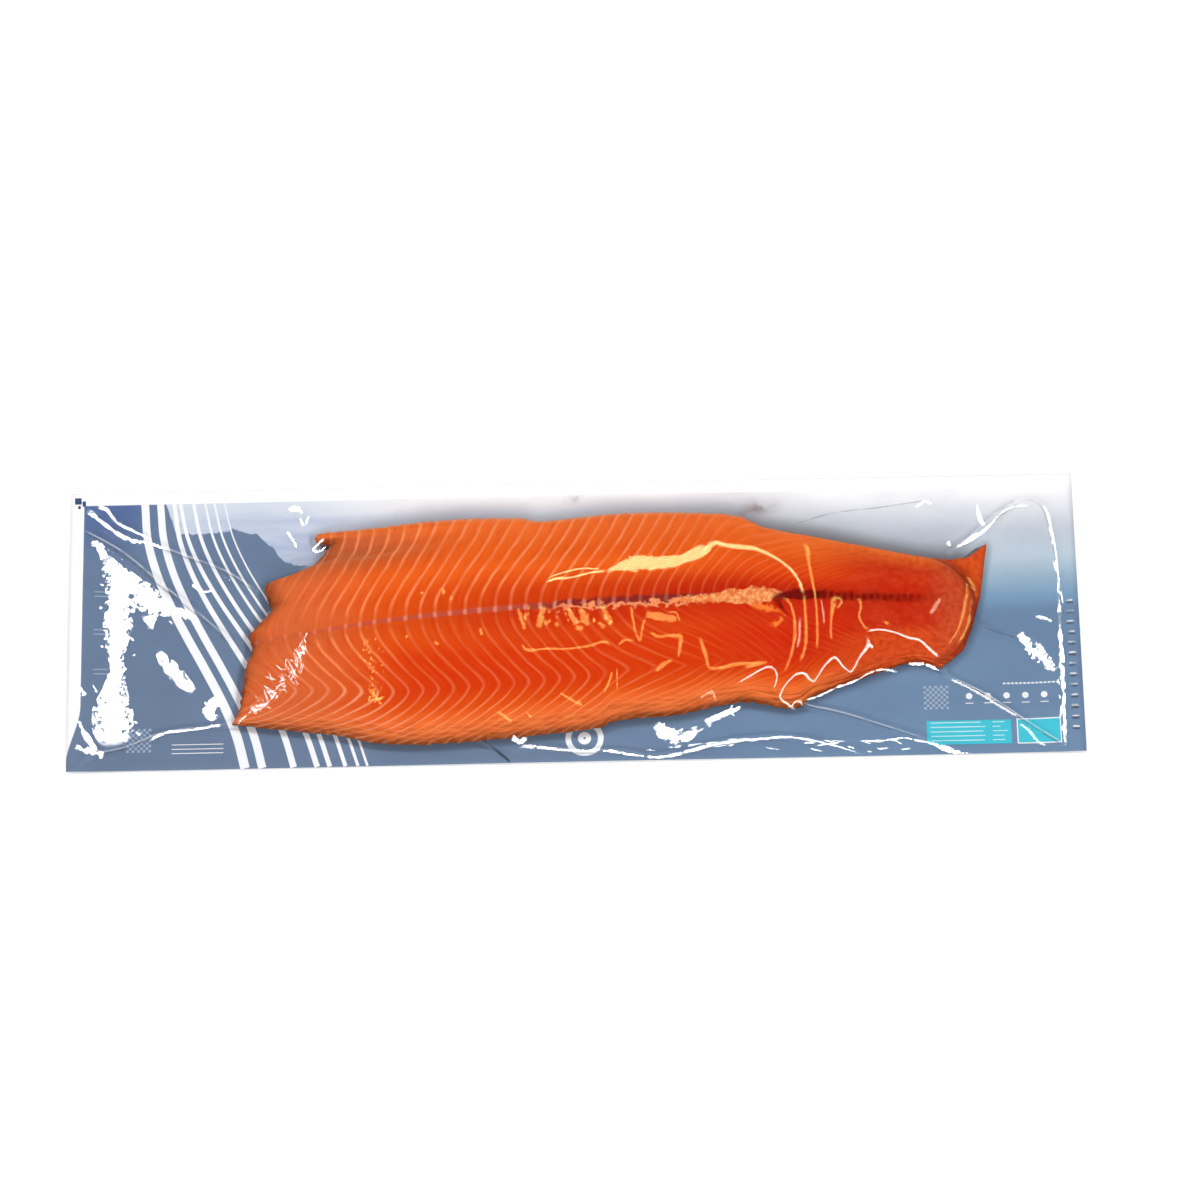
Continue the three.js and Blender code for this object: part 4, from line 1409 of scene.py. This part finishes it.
    (SPECK_GOLD, 1, {
        "patch_low": [(655, 672, 1.5), (663, 665, 2.4), (672, 660, 1)],
        "scatter_b": [(370, 692, 1), (378, 699, 1.4), (381, 706, 1)],
    }),
]

# Strips that were set on the pack itself, through places (x, y, half width).
SET_GLINTS = [
    (LEFT_WHITE, [(-160, 57, 0.5), (-164, 56, 0.7), (-168, 53.5, 0.9), (-164, 51.5, 0.9), (-159, 53, 0.5)]),
    (NEAR_WHITE, [
        (147, -58, 0.4), (157, -54, 0.5), (168, -49, 0.6), (177, -46, 0.5), (190, -40, 0.4), (198, -38, 0.4),
        (207, -38.5, 0.4),
    ]),
    (FOLD_GOLD, [(46, -4.4, 2.2), (50, -4.8, 2.8), (57, -6, 3), (66, -8, 2.4)]),
]

# Glints that are strewn about a line: how gold, how bright, how many, their length and half width, which
# way they lean in degrees (None: along the line), and the line through places (x, y, reach).
STREWN = [
    (0.05, 0.75, 46, 4.4, 0.34, None, [(-171, -9, 0.9), (-172, -18, 2), (-178, -31, 4), (-185, -43, 4.4),
        (-194, -52, 3), (-206, -59, 1.8), (-215, -65, 0.4)]),
    (0.1, 0.5, 90, 5.5, 0.3, -48, [(-173, -18, 2), (-180, -33, 7), (-189, -45, 8), (-198, -53, 5),
        (-206, -59, 2)]),
    (1, 0.28, 56, 1.8, 0.6, 60, [(-134, -17, 5), (-130, -27, 8), (-127, -38, 8), (-128, -50, 6)]),
    (1, 0.34, 14, 4, 0.7, 40, [(-130, -50, 2.5), (-123, -56, 2.5)]),
    (1, 0.35, 26, 3, 0.8, 80, [(-33, -3, 5), (-10, -6, 5), (9, -6, 5), (24, -8, 3)]),
    (0, 1.1, 46, 6, 0.7, None, [(309, 66, 1), (313, 15, 1.6), (312, -40, 2), (311, -88, 2)]),
    (0, 1.1, 60, 3.4, 0.8, -60, [(-300, 48, 8), (-292, 10, 12), (-294, -30, 9), (-296, -72, 14)]),
    (0, 1.1, 30, 3.4, 0.7, -30, [(-285, 33, 9), (-262, 16, 7), (-246, 8, 3)]),
    (0, 1.0, 26, 7, 0.5, None, [(44, -88, 2), (110, -84, 4), (170, -88, 5), (230, -91, 3)]),
    (0, 1.1, 24, 3, 0.8, -60, [(288, -14, 4), (296, -28, 6), (308, -39, 3)]),
    (0, 1.1, 26, 3.6, 0.6, 30, [(50, -71, 4), (70, -76, 6), (104, -61, 3)]),
]


def along_fold(name, first, *half_widths):
    """A crease on a fold: the fold's places from the first one on, with these half widths."""
    places = FOLDS[name][1][first:first + len(half_widths)]
    return [(x, y, half_width) for (x, y, _), half_width in zip(places, half_widths)]


LEFT_CREASE = along_fold("left", 0, 0.4, 0.6, 0.6, 0.5, 0.6)
CORNER_CREASE = [
    (-274, 60, 0.4), *along_fold("corner", 3, 0.6), (-250, 50, 0.6), *along_fold("corner", 4, 0.5, 0.6, 0.6),
]
NEAR_LEFT_CREASE = along_fold("near_left", 1, 0.5, 0.6, 0.6, 0.6, 0.9)
ARCH_CREASE = along_fold("arch", 0, 0.4, 0.5, 0.5, 0.4)
ARCH_TOP_CREASE = along_fold("arch", 3, 0.4, 0.5, 0.5, 0.5, 0.5, 0.4)
BELLY_CREASE = along_fold("belly_corner", 1, 0.4, 0.6, 0.6, 0.5)
BUMP_CREASE = along_fold("bump", 0, 0.5, 0.6, 0.5, 0.4)
WAVE_CREASE = along_fold("near_wave", 1, 0.5, 0.6, 0.6, 0.5, 0.6, 0.6, 0.6, 0.5, 0.4)

# Creases, painted shade (dark) and painted highlight (pale) along the film's folds: how pale (0 dark, 1
# pale), how strong, how far to the side, and places (x, y, half width).
CREASES = [
    (0.1, 0.5, -1.3, LEFT_CREASE), (1.0, 0.45, 0.5, LEFT_CREASE),
    (0.15, 0.5, -0.6, CORNER_CREASE), (1.0, 0.4, 0.7, CORNER_CREASE),
    (0.7, 0.55, 0.4, NEAR_LEFT_CREASE), (0.1, 0.4, -0.9, NEAR_LEFT_CREASE),
    (0.3, 0.45, 1.7, ARCH_CREASE), (0.3, 0.4, -1.7, ARCH_CREASE), (0.4, 0.4, 0.0, ARCH_TOP_CREASE),
    (0.8, 0.3, 0.0, along_fold("seal", 0, 1.2, 1.3, 1.3, 1.2)),
    (0.95, 0.6, 0.3, BELLY_CREASE), (0.1, 0.4, -0.9, BELLY_CREASE),
    (0.85, 0.5, 0.3, BUMP_CREASE), (0.1, 0.35, -0.8, BUMP_CREASE),
    (0.1, 0.5, 0.0, [(253, -4, 0.4), *along_fold("right_middle", 1, 0.6, 0.4)]),
    (0.0, 0.65, 0.0, along_fold("near_short", 0, 0.5, 1.1, 1.0)),
    (0.2, 0.3, -2.0, WAVE_CREASE),
    (0.4, 0.4, 0.0, [(145, 65, 0.4), (171, 72, 0.5), (200, 75, 0.5), (230, 79, 0.4)]),
]
CRIMPS = {"left": 316.5, "right": 322, "first": -78, "last": 10, "pitch": 7.1}
GLINT_LIFT = 0.12
STREWN_RAGGED = 0.2
CREASE_LIFT = 0.06


def on_film(x, y, lift):
    """Places that lie this far over the film."""
    across = np.clip((x + HALF_LENGTH) / (2 * HALF_LENGTH), 0, 0.9999) * (FILM_COLUMNS - 1)
    up = np.clip((y + HALF_WIDTH) / (2 * HALF_WIDTH), 0, 0.9999) * (FILM_ROWS - 1)
    row, column = up.astype(int), across.astype(int)
    u, v = up - row, across - column
    near = film_z[row, column] * (1 - v) + film_z[row, column + 1] * v
    far = film_z[row + 1, column] * (1 - v) + film_z[row + 1, column + 1] * v
    return np.stack([x, y, near * (1 - u) + far * u + lift], 1)


class Ribbons(Shapes):
    """Strips that lie on the film, with facts for their material."""

    def __init__(self, lift):
        super().__init__(lambda x, y: on_film(x, y, lift))
        self.facts = {}

    def lay(self, route, shift=0.0, **levels):
        line, share = through(route, 1.2)
        rows = 5 if line[:, 2].max() < 2.5 else 11
        side = across_line(line)
        across = np.linspace(1, -1, rows)[:, None] * np.ones(len(line))
        x = line[:, 0] + side[:, 0] * (line[:, 2] * across + shift)
        y = line[:, 1] + side[:, 1] * (line[:, 2] * across + shift)
        x = np.clip(x, -HALF_LENGTH + 0.1, HALF_LENGTH - 0.1)
        y = np.clip(y, -HALF_WIDTH + 0.1, HALF_WIDTH - 0.1)
        self.grid(x, y, rows, len(line), flip=True)
        ends = smooth(0, 0.06, share) * smooth(1, 0.94, share)
        for fact, level in {"across": across, "end": ends, **levels}.items():
            self.facts.setdefault(fact, []).append(np.broadcast_to(level, across.shape).ravel())

    def build(self, name, material, slot, **more):
        facts = {fact: np.concatenate(parts) for fact, parts in self.facts.items()}
        points = np.concatenate(self.points)
        return make_piece(name, points, self.faces, [material], facts={**facts, **more})


def within_strip(nodes, raggedness, threshold=0.5):
    """1 inside a strip of the film and 0 past its ragged edge."""
    inward = nodes.maths("SUBTRACT", 1, nodes.maths("ABSOLUTE", nodes.fact("across")))
    crumbs = nodes.product(nodes.step(nodes.noise(170, detail=2, rough=0.6, swirl=0.5), 0.36, 0.64), 0.45)
    fine = nodes.product(nodes.step(nodes.noise(430, detail=3, rough=0.65), 0.36, 0.64), 0.55)
    crumbs = nodes.maths("SUBTRACT", nodes.maths("ADD", crumbs, fine), threshold)
    broken = nodes.maths("ADD", inward, nodes.maths("MULTIPLY", crumbs, raggedness))
    return nodes.maths("MULTIPLY", nodes.step(broken, 0.1, 0.24), nodes.fact("end"))


def film_glint_material():
    material, nodes = new_material("film_glint")
    mask = within_strip(nodes, nodes.fact("ragged"))
    mirror = nodes.add("ShaderNodeBsdfGlossy")
    nodes.put(mirror.inputs["Color"], nodes.mix(nodes.fact("gold"), (1, 1, 1, 1), GOLD_GLINT))
    nodes.put(mirror.inputs["Roughness"], 0.14)
    nodes.put(mirror.inputs["Normal"], nodes.fact("facet", vector=True))
    clear = nodes.add("ShaderNodeBsdfTransparent")
    strip = nodes.add("ShaderNodeMixShader")
    share = nodes.maths("MULTIPLY", mask, nodes.maths("MULTIPLY", nodes.fact("bright"), 0.1))
    nodes.put(strip.inputs[0], share)
    nodes.put(strip.inputs[1], clear.outputs[0])
    nodes.put(strip.inputs[2], mirror.outputs[0])
    output = nodes.add("ShaderNodeOutputMaterial")
    nodes.put(output.inputs["Surface"], strip.outputs[0])
    return material


# The creases' colours are painted: dark grey for the shade beside a fold, pale for its highlight.
def painted_crease_light_material():
    material, nodes = new_material("film_crease")
    mask = within_strip(nodes, 0.7, 0.6)
    patchy = nodes.step(nodes.noise(130, detail=2), 0.32, 0.55, 0.35, 1.0)
    colour = nodes.mix(nodes.fact("pale"), paint(58, 62, 78), paint(226, 230, 238))
    shader = finish_principled(nodes, colour, nodes.step(patchy, 0, 1, 0.3, 0.4), Specular_IOR_Level=0.2)
    share = nodes.maths("MULTIPLY", nodes.maths("MULTIPLY", mask, patchy), nodes.fact("strong"))
    nodes.put(shader.inputs["Alpha"], share)
    return material


def strew(count, length, half_width, lean, middle):
    """Short strips strewn about a line through places (x, y, reach)."""
    line, _ = through(middle, 0.5)
    side = across_line(line)
    for place in draw.integers(len(line), size=count):
        x, y, reach = line[place]
        off = draw.normal(0, 0.5) * reach
        turn = math.radians(lean or 0) + draw.normal(0, 0.45)
        if lean is None:
            turn = math.atan2(-side[place, 0], side[place, 1]) + draw.normal(0, 0.2)
        half = length / 2 * draw.uniform(0.4, 1.5)
        along = np.array([math.cos(turn), math.sin(turn)]) * half
        middle_at = np.array([x, y]) + side[place] * off
        bend = side[place] * draw.normal(0, 0.08) * half
        thick = half_width * draw.uniform(0.5, 1.4)
        ends = [(middle_at - along, 0.4), (middle_at + bend, 1.0), (middle_at + along, 0.3)]
        yield [(at[0], at[1], thick * taper) for at, taper in ends]


def build_glints():
    glints = Ribbons(GLINT_LIFT)
    for (gold, bright, ragged), width_share, routes in GLINTS:
        for seen in routes.values():
            route = [(x, y, size * PHOTO_PIXEL * width_share) for x, y, size in from_photo(seen)]
            glints.lay(route, gold=gold, bright=bright, ragged=ragged)
    for (gold, bright, ragged), route in SET_GLINTS:
        glints.lay(route, gold=gold, bright=bright, ragged=ragged)
    for gold, bright, *strewn in STREWN:
        for route in strew(*strewn):
            glints.lay(route, gold=gold, bright=bright, ragged=STREWN_RAGGED)
    facet = facing_lamp(np.concatenate(glints.points))
    glints.build("film_glints", film_glint_material(), "clear_film", facet=facet)


def build_creases():
    creases = Ribbons(CREASE_LIFT)
    for pale, strong, shift, route in CREASES:
        creases.lay(route, shift, pale=pale, strong=strong)
    for y in np.arange(CRIMPS["first"], CRIMPS["last"], CRIMPS["pitch"]):
        # Each crimp gets a pale painted highlight, with a dark painted shade beside it.
        for lift, pale in ((0.0, 1.0), (-1.5, 0.1)):
            ends = [(x, y + lift, 0.7) for x in np.linspace(CRIMPS["left"], CRIMPS["right"], 4)]
            creases.lay(ends, pale=pale, strong=0.8 if pale else 0.3)
    creases.build("film_creases", painted_crease_light_material(), "clear_film")


build_glints()
build_creases()
